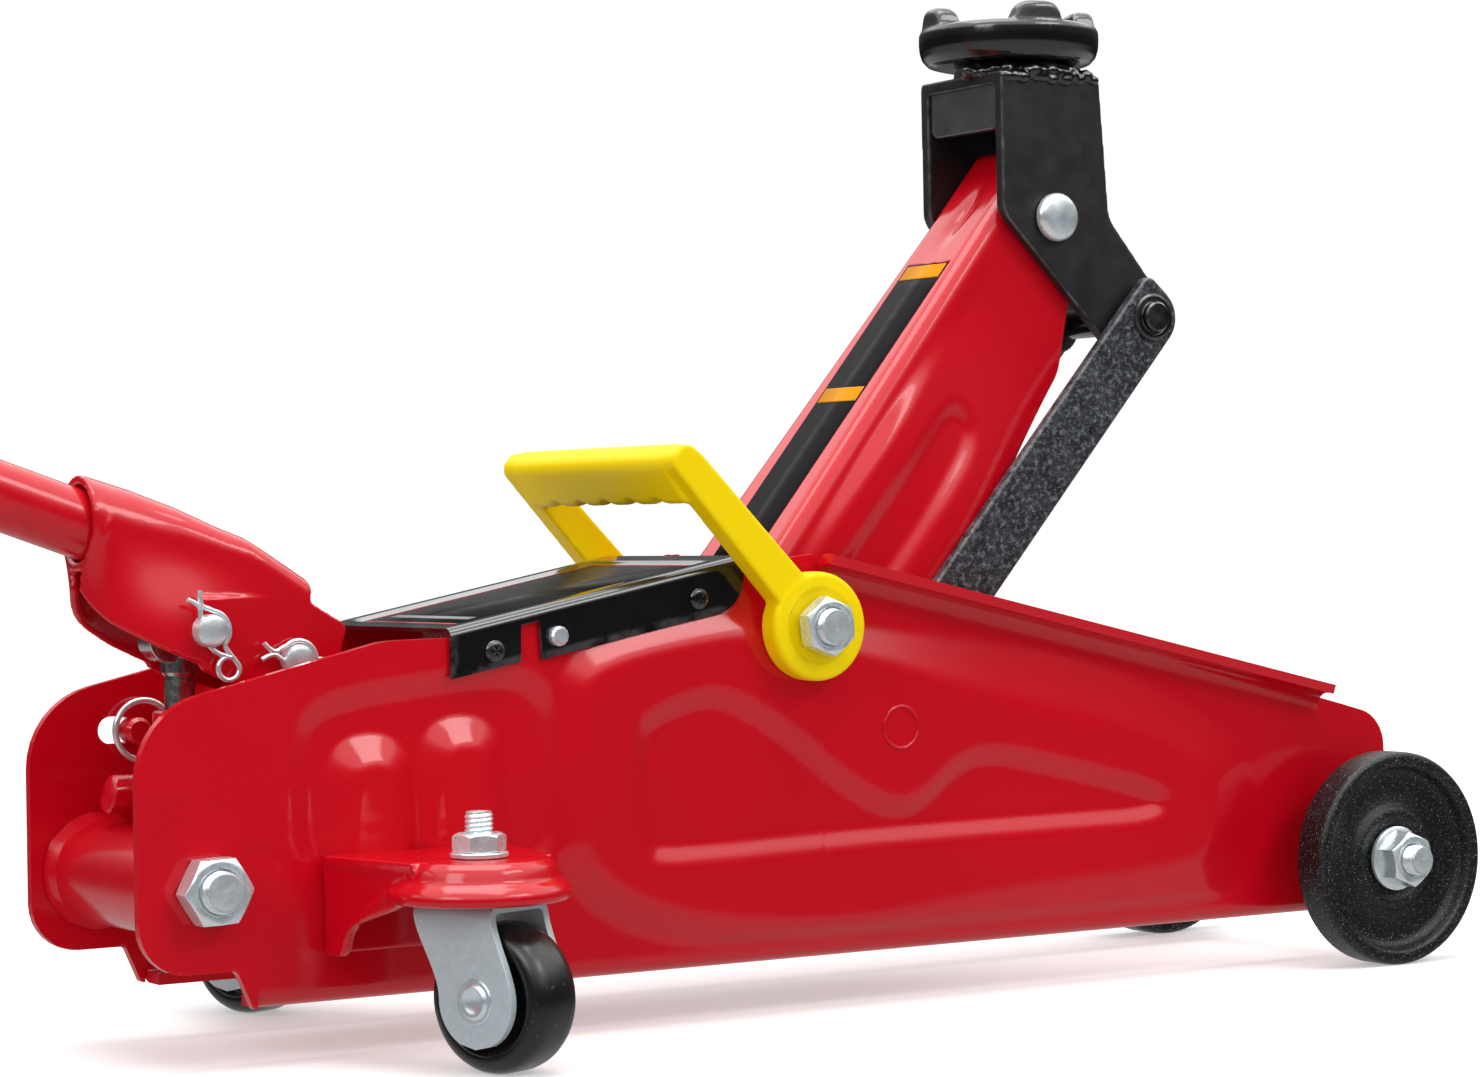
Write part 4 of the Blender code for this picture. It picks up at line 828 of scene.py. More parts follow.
def lift_arm():
    """The folded channel arm with rounded folds, a side pressing and a drawn-in tip."""
    thick = 2.8
    lower = rounded([(-14.5, 0, 0), (-12.0, -50.0, 12), (50.0, -44.0, 30), (136.0, -36.0, 16), (162.0, -21.0, 10),
                     (183.0, -13.0, 8), (187.6, 8.0, 0)], closed=False)
    upper = rounded([(-14.5, -6, 0), (-14.5, 11.2, 9), (186.8, 17.8, 3), (187.6, 8.0, 0)], closed=False)
    xs = np.unique(np.round(np.concatenate([[p.x for p in lower + upper], np.arange(-14.0, 187.0, 1.8)]), 2))
    xs = xs[np.concatenate([[True], np.diff(xs) > 0.04])]
    side_press = soft([(-20, -9), (88, -7.5), (98, -9.5), (100, -15), (97, -22), (80, -24.5), (-20, -26)], 2)
    rows = []
    for u in xs:
        half = 24.8 - thick / 2.0 - 7.2 * float(ease(np.array((u - 62.0) / 76.0)))
        crown = 24.6 - thick / 2.0 - 7.0 * min(1.0, max(0.0, u / 152.0))
        top = float(np.interp(u, [p.x for p in upper], [p.y for p in upper])) - thick / 2.0
        low = min(float(np.interp(u, [p.x for p in lower], [p.y for p in lower])), top - 8.0)
        fold = 4.0
        shoulder = top - 11.0
        flange = [(half, low + (shoulder - low) * i / 30) if low < shoulder else (half, low + 0.02 * i)
                  for i in range(30)]
        slope = [(half + (crown - half) * float(ease(np.array(i / 8.0))), flange[-1][1] +
                  (top - fold - flange[-1][1]) * (i + 1) / 9) for i in range(8)]
        corner = arc((crown - fold, top - fold), fold, 0, 90, 8)
        across = [(crown - fold - (crown - fold) * i / 14, top) for i in range(1, 15)]
        section = flange + slope + corner + across
        section = [(-w, v) for w, v in section] + [(w, v) for w, v in reversed(section[:-1])]
        rows.append([(u, w, v) for w, v in section])
    grid = np.array(rows)
    u, w, v = grid[..., 0], grid[..., 1], grid[..., 2]
    on_side = ease((np.abs(w) - 14.0) / 4.0) * ease((12.0 - v) / 6.0)
    sink = pressing(u, v, side_press, 2.0, 5.0) * on_side
    w = w - np.sign(w) * sink
    dimple = 1.6 * np.exp(-(((u - 160.0) / 10.0) ** 2 + (w / 3.4) ** 2)) * ease((v - 4.0) / 4.0)
    v = v - dimple
    points = [[arm_point(*p) for p in zip(*line)] for line in zip(u.tolist(), w.tolist(), v.tolist())]
    Shape().grid(points).make("lift_arm_skin", RED, "lift_arm", ("lift_arm",), sheet=thick, bevel=0.5)

    def strip(name, material, u0, u1, half, lift):
        shape = Shape()
        points = []
        for along in np.linspace(u0, u1, 12):
            level = float(np.interp(along, [p.x for p in upper], [p.y for p in upper])) + lift
            points.append([arm_point(along, side, level) for side in (-half, half)])
        shape.grid(points)
        shape.make(name, material, "lift_arm", sheet=0.08)

    strip("arm_sticker", INK_BLACK, 16.0, 138.0, 11.6, 0.06)
    for number, (u0, u1) in enumerate(((137.4, 138.0), (16.0, 16.6))):
        strip("arm_sticker_edge_%d" % number, RED, u0, u1, 11.6, 0.12)
    strip("arm_sticker_bar_1", INK_AMBER, 131.0, 136.8, 10.8, 0.12)
    strip("arm_sticker_bar_2", INK_AMBER, 79.6, 85.4, 10.8, 0.12)


# ---- head -------------------------------------------------------------------
def saddle_bracket():
    """Cheeks, folded top, recessed rear web, front web and the weld under the saddle."""
    corners = [(-126.6, 292.0, 3.0), (-126.4, 246.5, 9.0), (-122.9, 243.0, 3.0), (-84.0, 204.0, 6.0),
               (-68.0, 204.5, 8.0), (-61.0, 219.5, 7.0), (-83.5, 246.0, 10.0), (-87.0, 292.0, 3.0)]
    inner, outer = high_mm("head_pin").y - 6.8, 22.4
    shape = Shape()
    for side in SIDES.values():
        shape.prism(rounded(corners), *span(side, inner, outer))
    shape.prism([(-126.6, 288.0), (-87.0, 288.0), (-87.0, 292.0), (-126.6, 292.0)], -outer + 0.5, outer - 0.5)
    shape.prism([(-90.0, 291.0), (-88.2, 267.0), (-85.0, 267.0), (-87.0, 291.0)], -outer + 0.5, outer - 0.5)
    shape.make("saddle_bracket_skin", SATIN, "head", ("saddle_bracket",), voxel=0.55, smooth=4)

    # The web's lighter grey finish is a painted reflection of the surroundings.
    web = Shape().prism(rounded([(-17.9, 273.6, 3.0), (-17.9, 290.2, 1.5), (17.9, 290.2, 1.5), (17.9, 273.6, 3.0)]),
                        -125.6, -122.0, "YZ")
    web.make("saddle_bracket_web", WEB_SHEEN, "head", bevel=0.6)

    rng = np.random.default_rng(4)
    weld = Shape()
    centre = PIVOT["saddle_swivel"].x
    for step in range(26):
        angle = math.radians(-170.0 + 160.0 * step / 25 + rng.uniform(-2.0, 2.0))
        for ring, height in ((18.4, 294.2), (20.4, 292.6)):
            x = centre + (ring + rng.uniform(-0.7, 0.7)) * math.cos(angle)
            y = max(-21.6, (ring + rng.uniform(-0.7, 0.7)) * math.sin(angle) * 1.12)
            weld.ball((x, y, height + rng.uniform(-0.7, 0.7)), rng.uniform(1.9, 3.0), (1.2, 0.9, 0.8))
    for step in range(13):
        x = -123.5 + step * 2.85 + rng.uniform(-0.5, 0.5)
        weld.ball((x, -21.6 + rng.uniform(-0.4, 0.4), 290.9 + rng.uniform(-1.2, 1.4)), rng.uniform(2.1, 3.0),
                  (1.1, 0.8, 0.8))
    weld.lathe([(0.0, 295.7), (17.8, 295.7), (18.4, 291.0), (0.0, 291.0)], (centre, 0, 0), (0, 0, 1), 64)
    weld.make("saddle_weld", GLOSS, "head", voxel=0.4, smooth=1)

    head = Shape()
    head.lathe([(0.0, 0.0), (5.6, 0.05), (7.2, 0.75), (7.75, 1.7), (7.75, 3.1), (7.2, 3.5), (6.0, 3.5), (6.0, 48.0),
                (7.4, 48.0), (7.4, 50.6), (6.4, 51.2), (0.0, 51.2)], (HEAD.x, low_mm("head_pin").y, HEAD.z),
               (0, 1, 0), 72)
    head.make("head_pin_fine", ZINC, "head", ("head_pin",))
    pin = Shape()
    face = high_mm("link_left").y
    end = [(5.0, face - 1.0), (5.0, face + 0.15), (7.6, face + 0.15), (7.6, face + 0.9), (6.9, face + 1.3),
           (5.6, face + 1.3), (5.2, face + 1.0), (4.9, face + 1.3), (4.9, face + 2.9), (4.3, face + 3.5),
           (0.0, face + 3.5)]
    pin.lathe([(r, -h) for r, h in reversed(end)] + end, (LINK_TOP.x, 0, LINK_TOP.z), (0, 1, 0), 64)
    pin.make("link_pin_fine", GLOSS, "head", ("link_pin",))


def saddle():
    """Cast saddle: dished disc with a rounded belly, raised rim and lugs."""
    seat = PIVOT["saddle_swivel"]
    profile = [(0.0, 8.5), (19.5, 8.5), (20.6, 9.2), (21.6, 11.6), (22.6, 12.4), (27.2, 12.5), (28.6, 11.9),
               (29.3, 10.6), (29.4, 8.0), (29.2, 5.2), (28.4, 2.6), (26.6, 0.7), (24.0, 0.0), (8.0, 0.0),
               (8.0, -12.0), (0.0, -12.0)]
    shape = Shape()
    shape.lathe(profile, seat, (0, 0, 1), 128)
    for quarter in range(4):
        turn = Matrix.Translation(seat) @ Matrix.Rotation(math.radians(-15.4 + 90.0 * quarter), 4, "Z")
        lug = rounded([(20.6, 9.0, 0), (21.4, 18.4, 2.2), (27.8, 18.4, 2.2), (28.9, 9.0, 0)], 5)
        rows = []
        for part in np.linspace(-1.0, 1.0, 13):
            rise = 1.0 - 0.22 * abs(part) ** 5
            row = []
            for u, v in lug:
                across = part * (9.2 - 0.25 * (v - 9.0))
                row.append(turn @ Vector((math.sqrt(u * u - across * across), across, 9.0 + (v - 9.0) * rise)))
            rows.append(row)
        shape.grid(rows, around=True, caps=True)
    shape.make("saddle_fine", GLOSS, "saddle", ("saddle",), voxel=0.5, smooth=3)


def links():
    """Flat levelling links with chamfered edges and rounded, clipped ends."""
    half = 10.2
    along = Vector((LINK_TOP.x - LINK.x, LINK_TOP.z - LINK.z)).normalized()
    across = Vector((-along.y, along.x))
    foot = Vector((LINK.x, LINK.z))
    head = Vector((LINK_TOP.x, LINK_TOP.z))
    corners = [(*(foot - along * half - across * half), 9.0), (*(head + along * half - across * half), 10.0),
               (*(head + along * half + across * half), 3.5), (*(foot - along * half + across * half), 9.0)]
    for side_name, side in SIDES.items():
        name = "link_" + side_name
        near, far = low_mm("link_left").y, high_mm("link_left").y
        shape = Shape().prism(rounded(corners), *span(side, near, far))
        shape.make(name + "_fine", HAMMERED, name, (name,), bevel=0.9, segments=3)


# ---- pump handle ------------------------------------------------------------
def handle_point(along, above):
    """Point on the handle's axis plane: along from its entry outward, and above the axis."""
    up = Vector((HANDLE_AXIS.z, 0.0, -HANDLE_AXIS.x))
    return ENTRY + HANDLE_AXIS * along + up * above


def handle_socket():
    """Pressed socket: rolled collar, roof running into flat cheeks, rounded heel under the collar."""
    thick = 2.4
    top = [(-431.0, 164.0), (-418.0, 160.0), (-406.0, 155.2), (-395.0, 149.6), (-388.0, 146.6), (-381.0, 142.0),
           (-370.0, 134.8)]
    low = [(-432.0, 131.0), (-430.5, 126.0), (-427.5, 122.0), (-424.0, 119.4), (-415.6, 114.6),
           (-403.5, 109.1), (-385.0, 101.8), (-374.0, 100.6), (-366.0, 104.5)]
    cheek, barrel = 18.6, 11.2

    def reach(x):
        return cheek * (1.0 - max(0.0, (-400.0 - x) / 32.0) ** 2.2) ** (1.0 / 2.2)

    def section(x, half):
        return [(x, -y, z) for y, z in half] + [(x, y, z) for y, z in reversed(half[:-1])]

    rows = []
    for x in np.linspace(-431.8, -370.0, 66):
        roof = float(np.interp(x, *zip(*top))) - thick / 2.0
        floor = float(np.interp(x, *zip(*low))) + thick / 2.0
        blend = float(ease(np.array((x + 424.0) / 44.0)))
        width = barrel + (cheek - barrel) * blend
        depth = 11.5 - 4.5 * blend
        power = 2.0 / (2.0 + 1.6 * blend)
        base = roof - depth
        half = []
        for i in range(16):
            z = floor + (base - floor) * i / 16
            flare = float(ease(np.array((base - z) / ((base - floor) * (0.95 - 0.5 * blend)))))
            half.append((width + (reach(x) - width) * flare, z))
        for angle in np.radians(np.linspace(0.0, 90.0, 13)):
            half.append((width * max(0.0, math.cos(angle)) ** power, base + depth * math.sin(angle) ** power))
        rows.append(section(x, half))
    skin = Shape().grid(rows).make("socket_roof", RED, None, sheet=thick)
    bpy.context.view_layer.update()
    solid = bpy.data.meshes.new_from_object(skin.evaluated_get(bpy.context.evaluated_depsgraph_get()))
    shape = Shape()
    shape.add([((v.co.x - AXLE_X) / MM, v.co.y / MM, v.co.z / MM) for v in solid.vertices],
              [tuple(face.vertices) for face in solid.polygons])
    bpy.data.objects.remove(skin, do_unlink=True)

    lobe = rounded([(-404.0, 109.4, 0), (-398.5, 106.6, 8), (-374.0, 99.5, 9), (-362.8, 107.5, 6),
                    (-358.8, 120.6, 3), (-373.5, 129.2, 0), (-404.0, 129.5, 0)])
    for side in SIDES.values():
        shape.prism(lobe, *span(side, 17.4, 19.8))
    collar = [(12.0, -24.0), (12.0, -2.1), (12.7, -1.5), (12.9, -0.6), (12.6, 0.3), (11.6, 0.7), (10.4, 0.4),
              (9.9, -0.3), (9.9, -24.0)]
    shape.lathe(list(reversed(collar)), ENTRY, HANDLE_AXIS, 72, closed=True)
    shape.make("handle_socket_skin", RED, "handle_socket", ("handle_socket",), voxel=0.6, smooth=4)


def handle():
    """Pump handle tube, and its grip with moulded ribs."""
    low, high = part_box("handle_tube")
    length = (high - low).length
    outer = 9.5
    tube_length = (spot(high) - spot(low)).x / -HANDLE_AXIS.x
    tube_length = 440.0 if tube_length < 1.0 else tube_length
    tube = Shape()
    tube.lathe([(8.0, -16.8), (9.1, -16.8), (outer, -16.3), (outer, 420.0), (8.0, 420.0)], ENTRY, HANDLE_AXIS, 96,
               closed=True)
    tube.make("handle_tube_fine", RED, "handle", ("handle_tube",))
    grip = Shape()
    start, end = 308.2, 427.0
    profile = [(9.8, start), (12.2, start), (14.2, start + 1.5), (14.5, start + 4.0)]
    rings = 17
    for i in range(rings):
        at = start + 12.0 + i * 5.4
        profile += [(14.5, at), (13.6, at + 0.9), (13.6, at + 1.9), (14.5, at + 2.8)]
    profile += [(14.5, end - 4.0), (13.6, end - 1.6), (11.4, end - 0.2), (10.5, end), (0.0, end), (0.0, end - 3.5),
                (9.8, end - 3.5)]
    grip.lathe(profile, ENTRY, HANDLE_AXIS, 96, closed=True)
    grip.make("handle_grip_fine", GRIP, "handle", ("handle_grip",))
    return length


def clip(name, pivot, lean, body, replaces):
    """A wire clip: crossed tails up, a bow round the pin and an end loop."""
    y = low_mm(replaces[0]).y + 0.7
    axis = Vector((math.cos(lean), 0.0, math.sin(lean)))
    across = Vector((-axis.z, 0.0, axis.x))
    centre = Vector((pivot.x, y, pivot.z))
    points = [centre - axis * 11.5 + across * 2.2, centre - axis * 8.0 - across * 0.2,
              centre - axis * 5.4 + across * 2.6]
    for step in range(9):
        angle = math.radians(150.0 - 17.0 * step)
        points.append(centre + (axis * math.cos(angle) + across * math.sin(angle)) * 5.6)
    for step in range(13):
        angle = math.radians(80.0 - 27.0 * step)
        points.append(centre + axis * 11.8 + (axis * math.cos(angle) + across * math.sin(angle)) * 3.3)
    points += [centre + axis * 4.6 - across * 3.2, centre - axis * 5.0 - across * 1.2,
               centre - axis * 8.0 + across * 0.6, centre - axis * 11.0 - across * 2.4]
    wire(name, points, 0.72, ZINC, body, replaces)


def pump_pins():
    """Plunger and fulcrum pins with domed ends, their clips, and the plate's side pin ring."""
    for node, body in (("plunger_pin", "handle_socket"), ("fulcrum_pin", "chassis")):
        low, high = low_mm(node), high_mm(node)
        place = (low + high) / 2.0
        end = high.y
        shape = Shape()
        shape.lathe([(0.0, -end), (3.0, -end + 0.05), (4.2, -end + 0.5), (4.6, -end + 1.3), (4.6, end - 0.8),
                     (3.8, end), (0.0, end)], (place.x, 0, place.z), (0, 1, 0), 64)
        shape.make(node + "_fine", ZINC, body, (node,))
    clip("plunger_clip_fine", spot(middle("plunger_pin")), math.radians(-64.0), "handle_socket", ("plunger_clip",))
    clip("fulcrum_clip_fine", spot(middle("fulcrum_pin")), math.radians(-15.0), "chassis", ("fulcrum_clip",))
    ring = spot(middle("side_pin_ring"))
    points = [(ring.x + 8.8 * math.cos(math.tau * i / 24), ring.y, ring.z + 8.8 * math.sin(math.tau * i / 24))
              for i in range(24)]
    wire("side_pin_ring_fine", points, 0.95, ZINC, "chassis", ("side_pin_ring",), closed=True)
    pin = spot(middle("side_pin"))
    low, high = low_mm("side_pin"), high_mm("side_pin")
    shape = Shape()
    shape.lathe([(0.0, low.y), (3.0, low.y + 0.2), (4.0, low.y + 1.4), (3.7, high.y), (0.0, high.y)],
                (pin.x - 3.2, 0, pin.z), (0, 1, 0), 48)
    shape.make("side_pin_fine", RED, "chassis", ("side_pin",))


def pump_plunger():
    """Plunger rod with its slotted, rounded eye."""
    place = spot(middle("plunger_pin"))
    foot = low_mm("pump_plunger").z
    shape = Shape()
    shape.lathe([(0.0, foot), (4.0, foot), (4.4, foot + 0.4), (4.4, place.z - 13.0), (5.2, place.z - 12.0),
                 (5.2, place.z - 7.6), (0.0, place.z - 7.6)], (place.x, 0, 0), (0, 0, 1), 64)
    eye = rounded([(-10.8, -9.0, 6), (-10.8, 9.0, 6), (16.2, 9.0, 6), (16.2, -9.0, 6)], 8)
    slot = rounded([(-7.5, -6.2, 4), (-7.5, 6.2, 4), (13.5, 6.2, 4), (13.5, -6.2, 4)], 8)
    rows = [[(place.x + u, y, place.z + v) for u, v in ring]
            for ring, y in ((eye, -4.4), (eye, 4.4), (slot, 4.4), (slot, -4.4), (eye, -4.4))]
    shape.grid(rows, around=True)
    shape.make("pump_plunger_fine", STEEL, "plunger", ("pump_plunger",), bevel=0.3)


def rear_tube():
    """Tie tube between the plates, with lumpy weld beads at its ends."""
    rng = np.random.default_rng(11)
    lumps = rng.uniform(-1.0, 1.0, (2, 12))
    end = high_mm("rear_tie_tube").y

    def bead(angle, height):
        near = max(0.0, 1.0 - (end - abs(height)) / 5.0)
        side = 0 if height < 0.0 else 1
        wave = sum(lumps[side][k] * math.sin(angle * (k + 5) + k) for k in range(12)) * 0.09
        return near * (2.1 + wave)

    heights = list(np.linspace(-end, -end + 6.0, 12)) + [0.0] + list(np.linspace(end - 6.0, end, 12))
    profile = [(12.6, -end)] + [(15.0, h) for h in heights] + [(12.6, end)]
    Shape().lathe(profile, (TIE.x, 0, TIE.z), (0, 1, 0), 120, closed=True, relief=lambda a, h: bead(a, h)).make(
        "rear_tie_tube_fine", RED, "chassis", ("rear_tie_tube",), bevel=0.3, segments=1)


def release_valve():
    """Release valve knuckle with a rough, slanted cut end."""
    low, high = low_mm("release_valve"), high_mm("release_valve")
    centre = Vector(((low.x + high.x) / 2.0, (low.y + high.y) / 2.0, (low.z + high.z) / 2.0))
    rows = []
    rng = np.random.default_rng(3)
    steps = 40
    for at, radius in ((low.x, 0.0), (low.x, 4.6), (low.x + 0.5, 5.3), (low.x + 3.0, 5.5), (high.x, 5.5), (high.x, 0.0)):
        row = []
        for step in range(steps):
            angle = math.tau * step / steps
            slant = 1.8 * (1.0 + math.cos(angle)) / 2.0 if at < low.x + 2.0 else 0.0
            rough = rng.uniform(-0.25, 0.25) if at < low.x + 1.0 and radius > 0 else 0.0
            centre_slant = 0.9 if radius == 0.0 and at == low.x else slant
            row.append((at + centre_slant + rough * 0.5, centre.y + (radius + rough) * math.sin(angle),
                        centre.z + (radius + rough) * math.cos(angle)))
        rows.append(row)
    Shape().grid(rows, around=True).make("release_valve_fine", RED, "release_valve", ("release_valve",))


# ---- wheels and casters -----------------------------------------------------
def front_wheels():
    """Cast front wheels: rounded tread edges, recessed face, hub ring."""
    out, inn, r = high_mm("front_wheel_left").y, 54.1, 35.0
    hub = low_mm("front_wheel_left").y
    for side_name, side in SIDES.items():
        profile = [(5.3, 62.8), (12.6, 62.8), (13.4, 63.4), (14.6, 63.7), (16.2, 63.5), (17.2, 62.4), (18.4, 61.7),
                   (27.0, 61.6), (28.8, 62.2), (29.8, 63.8), (30.1, out - 0.9), (30.7, out - 0.2), (31.4, out),
                   (33.4, out), (34.4, out - 0.3), (r - 0.1, out - 1.2), (r, out - 2.2), (r, inn + 2.2),
                   (r - 0.1, inn + 1.2), (34.4, inn + 0.3), (33.4, inn), (31.0, inn), (30.2, inn + 0.5),
                   (29.4, inn + 3.0), (28.0, 58.0), (12.4, 58.0), (11.4, 57.0), (11.0, hub + 1.0), (10.2, hub),
                   (5.3, hub)]
        name = "front_wheel_" + side_name
        Shape().lathe(profile, (AXLE.x, 0, AXLE.z), (0, side, 0), 144, closed=True).make(
            name + "_fine", CAST, name, (name,), angle=50.0)


def caster_bracket(side_name):
    """Pressed caster bracket: rolled disc with rings on top, run into the plate by gussets."""
    side = SIDES[side_name]
    top = high_mm("caster_bracket_right").z
    x, y = STUD_X, STUD_Y
    profile = [(4.3, top), (8.6, top), (9.4, top + 0.25)]
    for i in range(4):
        at = 10.4 + i * 2.4
        profile += [(at, top - 0.25), (at + 1.2, top + 0.25)]
    profile += [(19.4, top - 0.5), (20.6, top - 1.6), (21.2, top - 3.0), (21.8, 52.6), (23.6, 51.2), (24.9, 49.6),
                (25.2, 48.2), (24.8, 46.8), (23.4, 46.2), (21.8, 46.8), (20.6, 49.2), (19.8, top - 5.0),
                (18.6, top - 3.2), (4.3, top - 3.2)]
    shape = Shape()
    shape.lathe(list(reversed(profile)), (x, y, 0), (0, 0, 1), 120, closed=True)
    root = PLATE_OUT + 0.3
    half = 28.0
    deck = [(x - half, root), (x + half, root), (x + half, root + 6.0), (x + 21.5, y + 2.0), (x + 15.0, y),
            (x - 15.0, y), (x - 21.5, y + 2.0), (x - half, root + 6.0)]
    inner = [Vector(p) for p in deck]
    shape.prism(inner, top - 3.2, top - 0.1, "XY")
    gusset = rounded([(root, 30.0, 1.5), (50.5, 30.0, 4), (54.0, 38.8, 7), (70.0, 43.8, 0), (78.0, 46.8, 0),
                      (78.0, top - 1.4, 0), (root, top - 1.4, 0)])
    for low_x, shift in ((x - half, 0.0), (x + half - 3.0, 0.0)):
        matrix = Matrix.Identity(4)
        rows = []
        for offset in (0.0, 3.0):
            row = []
            for v, z in gusset:
                reach = max(0.0, v - 48.0) / 26.0
                lean = (6.2 if low_x < x else -6.2) * min(1.0, reach) ** 1.3
                row.append(matrix @ Vector((low_x + offset + lean + shift, v, z)))
            rows.append(row)
        shape.grid(rows, around=True, caps=True)
    shape.prism([(x - half + 1.0, 30.5), (x + half - 1.0, 30.5), (x + half - 1.0, top - 1.0), (x - half + 1.0, top - 1.0)],
                root, root + 3.0)
    name = "caster_bracket_" + side_name
    shape.make(name + "_skin", RED, "chassis", (name,), mirror=side < 0.0, voxel=0.6, smooth=3)


def caster(side_name):
    """Stud with thread, nut and washer; sheet fork, rivet axle and wheel."""
    side = SIDES[side_name]
    stud_node = "caster_stud_" + side_name
    top = high_mm(stud_node).z
    x, y = STUD_X, side * STUD_Y
    nut_low, nut_high = low_mm("caster_nut_" + side_name).z, high_mm("caster_nut_" + side_name).z
    made = Shape()
    nut(made, (x, y, nut_low + 1.3), (0, 0, 1), 13.0, nut_high - nut_low - 1.3, 4.1, math.radians(12.0))
    made.lathe([(4.1, nut_low), (7.8, nut_low), (8.0, nut_low + 0.3), (8.0, nut_low + 1.1), (7.6, nut_low + 1.4),
                (4.1, nut_low + 1.4)], (x, y, 0), (0, 0, 1), 64, closed=True)
    made.make("caster_nut_%s_fine" % side_name, ZINC, "chassis", ("caster_nut_" + side_name,), angle=28.0)
    stud = Shape()
    thread(stud, 4.0, 1.25, (x, y, nut_high - 3.0), top - nut_high + 2.65, (0, 0, 1))
    stud.lathe([(0.0, 41.8), (6.8, 41.8), (6.8, 43.6), (4.0, 43.6), (4.0, 46.8), (11.0, 46.8), (11.0, 54.2),
                (3.6, 54.2), (3.6, nut_high - 2.9), (0.0, nut_high - 2.9)], (x, y, 0), (0, 0, 1), 48)
    stud.make(stud_node + "_fine", ZINC, "chassis", (stud_node,), angle=28.0)

    joint = next(j for j in frame["joints"] if j["name"] == "caster_%s_roll" % side_name)
    hub = spot(joint["pos_m"])
    axis = Vector(joint["axis"]).normalized()
    forward = axis.cross(Vector((0, 0, 1))).normalized()
    if (Vector((hub.x - x, hub.y - y, 0.0))).dot(forward) < 0.0:
        forward = -forward
    trail = Vector((hub.x - x, hub.y - y, 0.0)).length
    matrix = Matrix((( forward.x, axis.x, 0, x), (forward.y, axis.y, 0, y), (0, 0, 1, 0), (0, 0, 0, 1)))
    wheel_r = hub.z
    half = 9.0
    cheek = half + 0.6 + 1.25
    fold = 2.6
    crown = 46.5 - 1.25
    path = []
    for z in np.linspace(wheel_r - 13.0, crown - fold, 30):
        path.append((-cheek, float(z)))
    path += [(-cheek + fold - fold * math.cos(a), crown - fold + fold * math.sin(a))
             for a in np.radians(np.linspace(15.0, 90.0, 6))]
    path += [(w, crown) for w in np.linspace(-cheek + fold + 1.0, 0.0, 6)]
    path += [(-w, z) for w, z in reversed(path[:-1])]
    rows = []
    for w, z in path:
        rise = (z - wheel_r) / (crown - wheel_r)
        if z < wheel_r:
            reach = math.sqrt(max(0.0, 169.0 - (z - wheel_r) ** 2))
            low_u, high_u = trail - reach, trail + reach
        else:
            bow = float(ease(np.array(rise)))
            low_u = (trail - 13.0) * (1.0 - bow) - 14.0 * bow
            high_u = (trail + 13.0) * (1.0 - bow) + 14.0 * bow
        rows.append([matrix @ Vector((low_u + (high_u - low_u) * i / 14, w, z)) for i in range(15)])
    Shape().grid(rows).make("caster_fork_%s_fine" % side_name, FORK, "caster_fork_" + side_name,
                            ("caster_fork_" + side_name,), sheet=2.3, bevel=0.5)

    axle = Shape()
    reach = cheek + 1.25 + 1.2
    profile = [(0.0, reach - 1.3), (2.9, reach - 0.3), (3.5, reach), (4.1, reach), (4.6, reach - 0.4),
               (5.0, reach - 0.8), (5.9, reach - 0.8), (6.2, reach - 1.1), (6.2, reach - 1.3), (3.0, reach - 1.4)]
    full = profile + [(r, -h) for r, h in reversed(profile)]
    axle.lathe(full, hub, axis, 48)
    axle.make("caster_axle_%s_fine" % side_name, ZINC, "caster_fork_" + side_name, ("caster_axle_" + side_name,))
    r = wheel_r
    tyre = [(3.3, half), (6.8, half), (7.4, half - 0.6), (7.8, half - 3.2), (8.6, half - 3.8), (13.4, half - 3.8),
            (14.3, half - 3.2), (14.9, half - 0.8), (15.4, half - 0.4), (17.6, half - 0.8), (19.3, half - 1.9),
            (20.1, half - 3.4), (r, half - 5.4), (r, 0.0)]
    tyre = tyre + [(q, -h) for q, h in reversed(tyre[:-1])]
    Shape().lathe(tyre, hub, axis, 120, closed=True).make(
        "caster_wheel_%s_fine" % side_name, WHEEL, "caster_wheel_" + side_name, ("caster_wheel_" + side_name,), angle=50.0)


# ---- carry handle -----------------------------------------------------------
def carry_handle():
    """Moulded carry handle: eyes on the lift shaft, tapering arms, a bar with finger grooves."""
    inner, outer = 43.7, high_mm("carry_handle").y
    arm = rounded([(-221.5, 130.0, 0), (-258.5, 168.0, 7), (-264.5, 172.8, 4), (-270.3, 166.2, 4),
                   (-232.6, 124.2, 0)])
    shape = Shape()
    for side in SIDES.values():
        low, high = span(side, inner, outer - 0.3)
        shape.prism(arm, low, high)
        shape.lathe([(6.4, inner), (15.2, inner), (16.1, inner + 0.5), (16.4, inner + 1.4), (16.4, outer - 1.4),
                     (16.0, outer - 0.5), (15.2, outer), (11.6, outer), (11.0, outer - 1.2), (6.4, outer - 1.2)],
                    (ARM.x, 0, ARM.z), (0, side, 0), 96, closed=True)
    rows = []
    for y in np.linspace(-inner - 2.0, inner + 2.0, 90):
        reach = abs(y)
        groove = 1.3 * max(0.0, math.cos(math.tau * y / 15.0)) if reach < 34.0 else 0.0
        low = 154.2 + groove
        outline = rounded([(-270.6, 166.2, 4.0), (-264.8, 172.6, 4.5), (-257.0, 169.4, 4.0), (-256.4, low, 3.0),
                           (-261.8 - 0.73 * groove, low, 3.0)], 5)
        rows.append([(p.x, y, p.y) for p in outline])
    shape.grid(rows, around=True, caps=True)
    shape.make("carry_handle_fine", YELLOW, "carry_handle", ("carry_handle",), voxel=0.6, smooth=6)


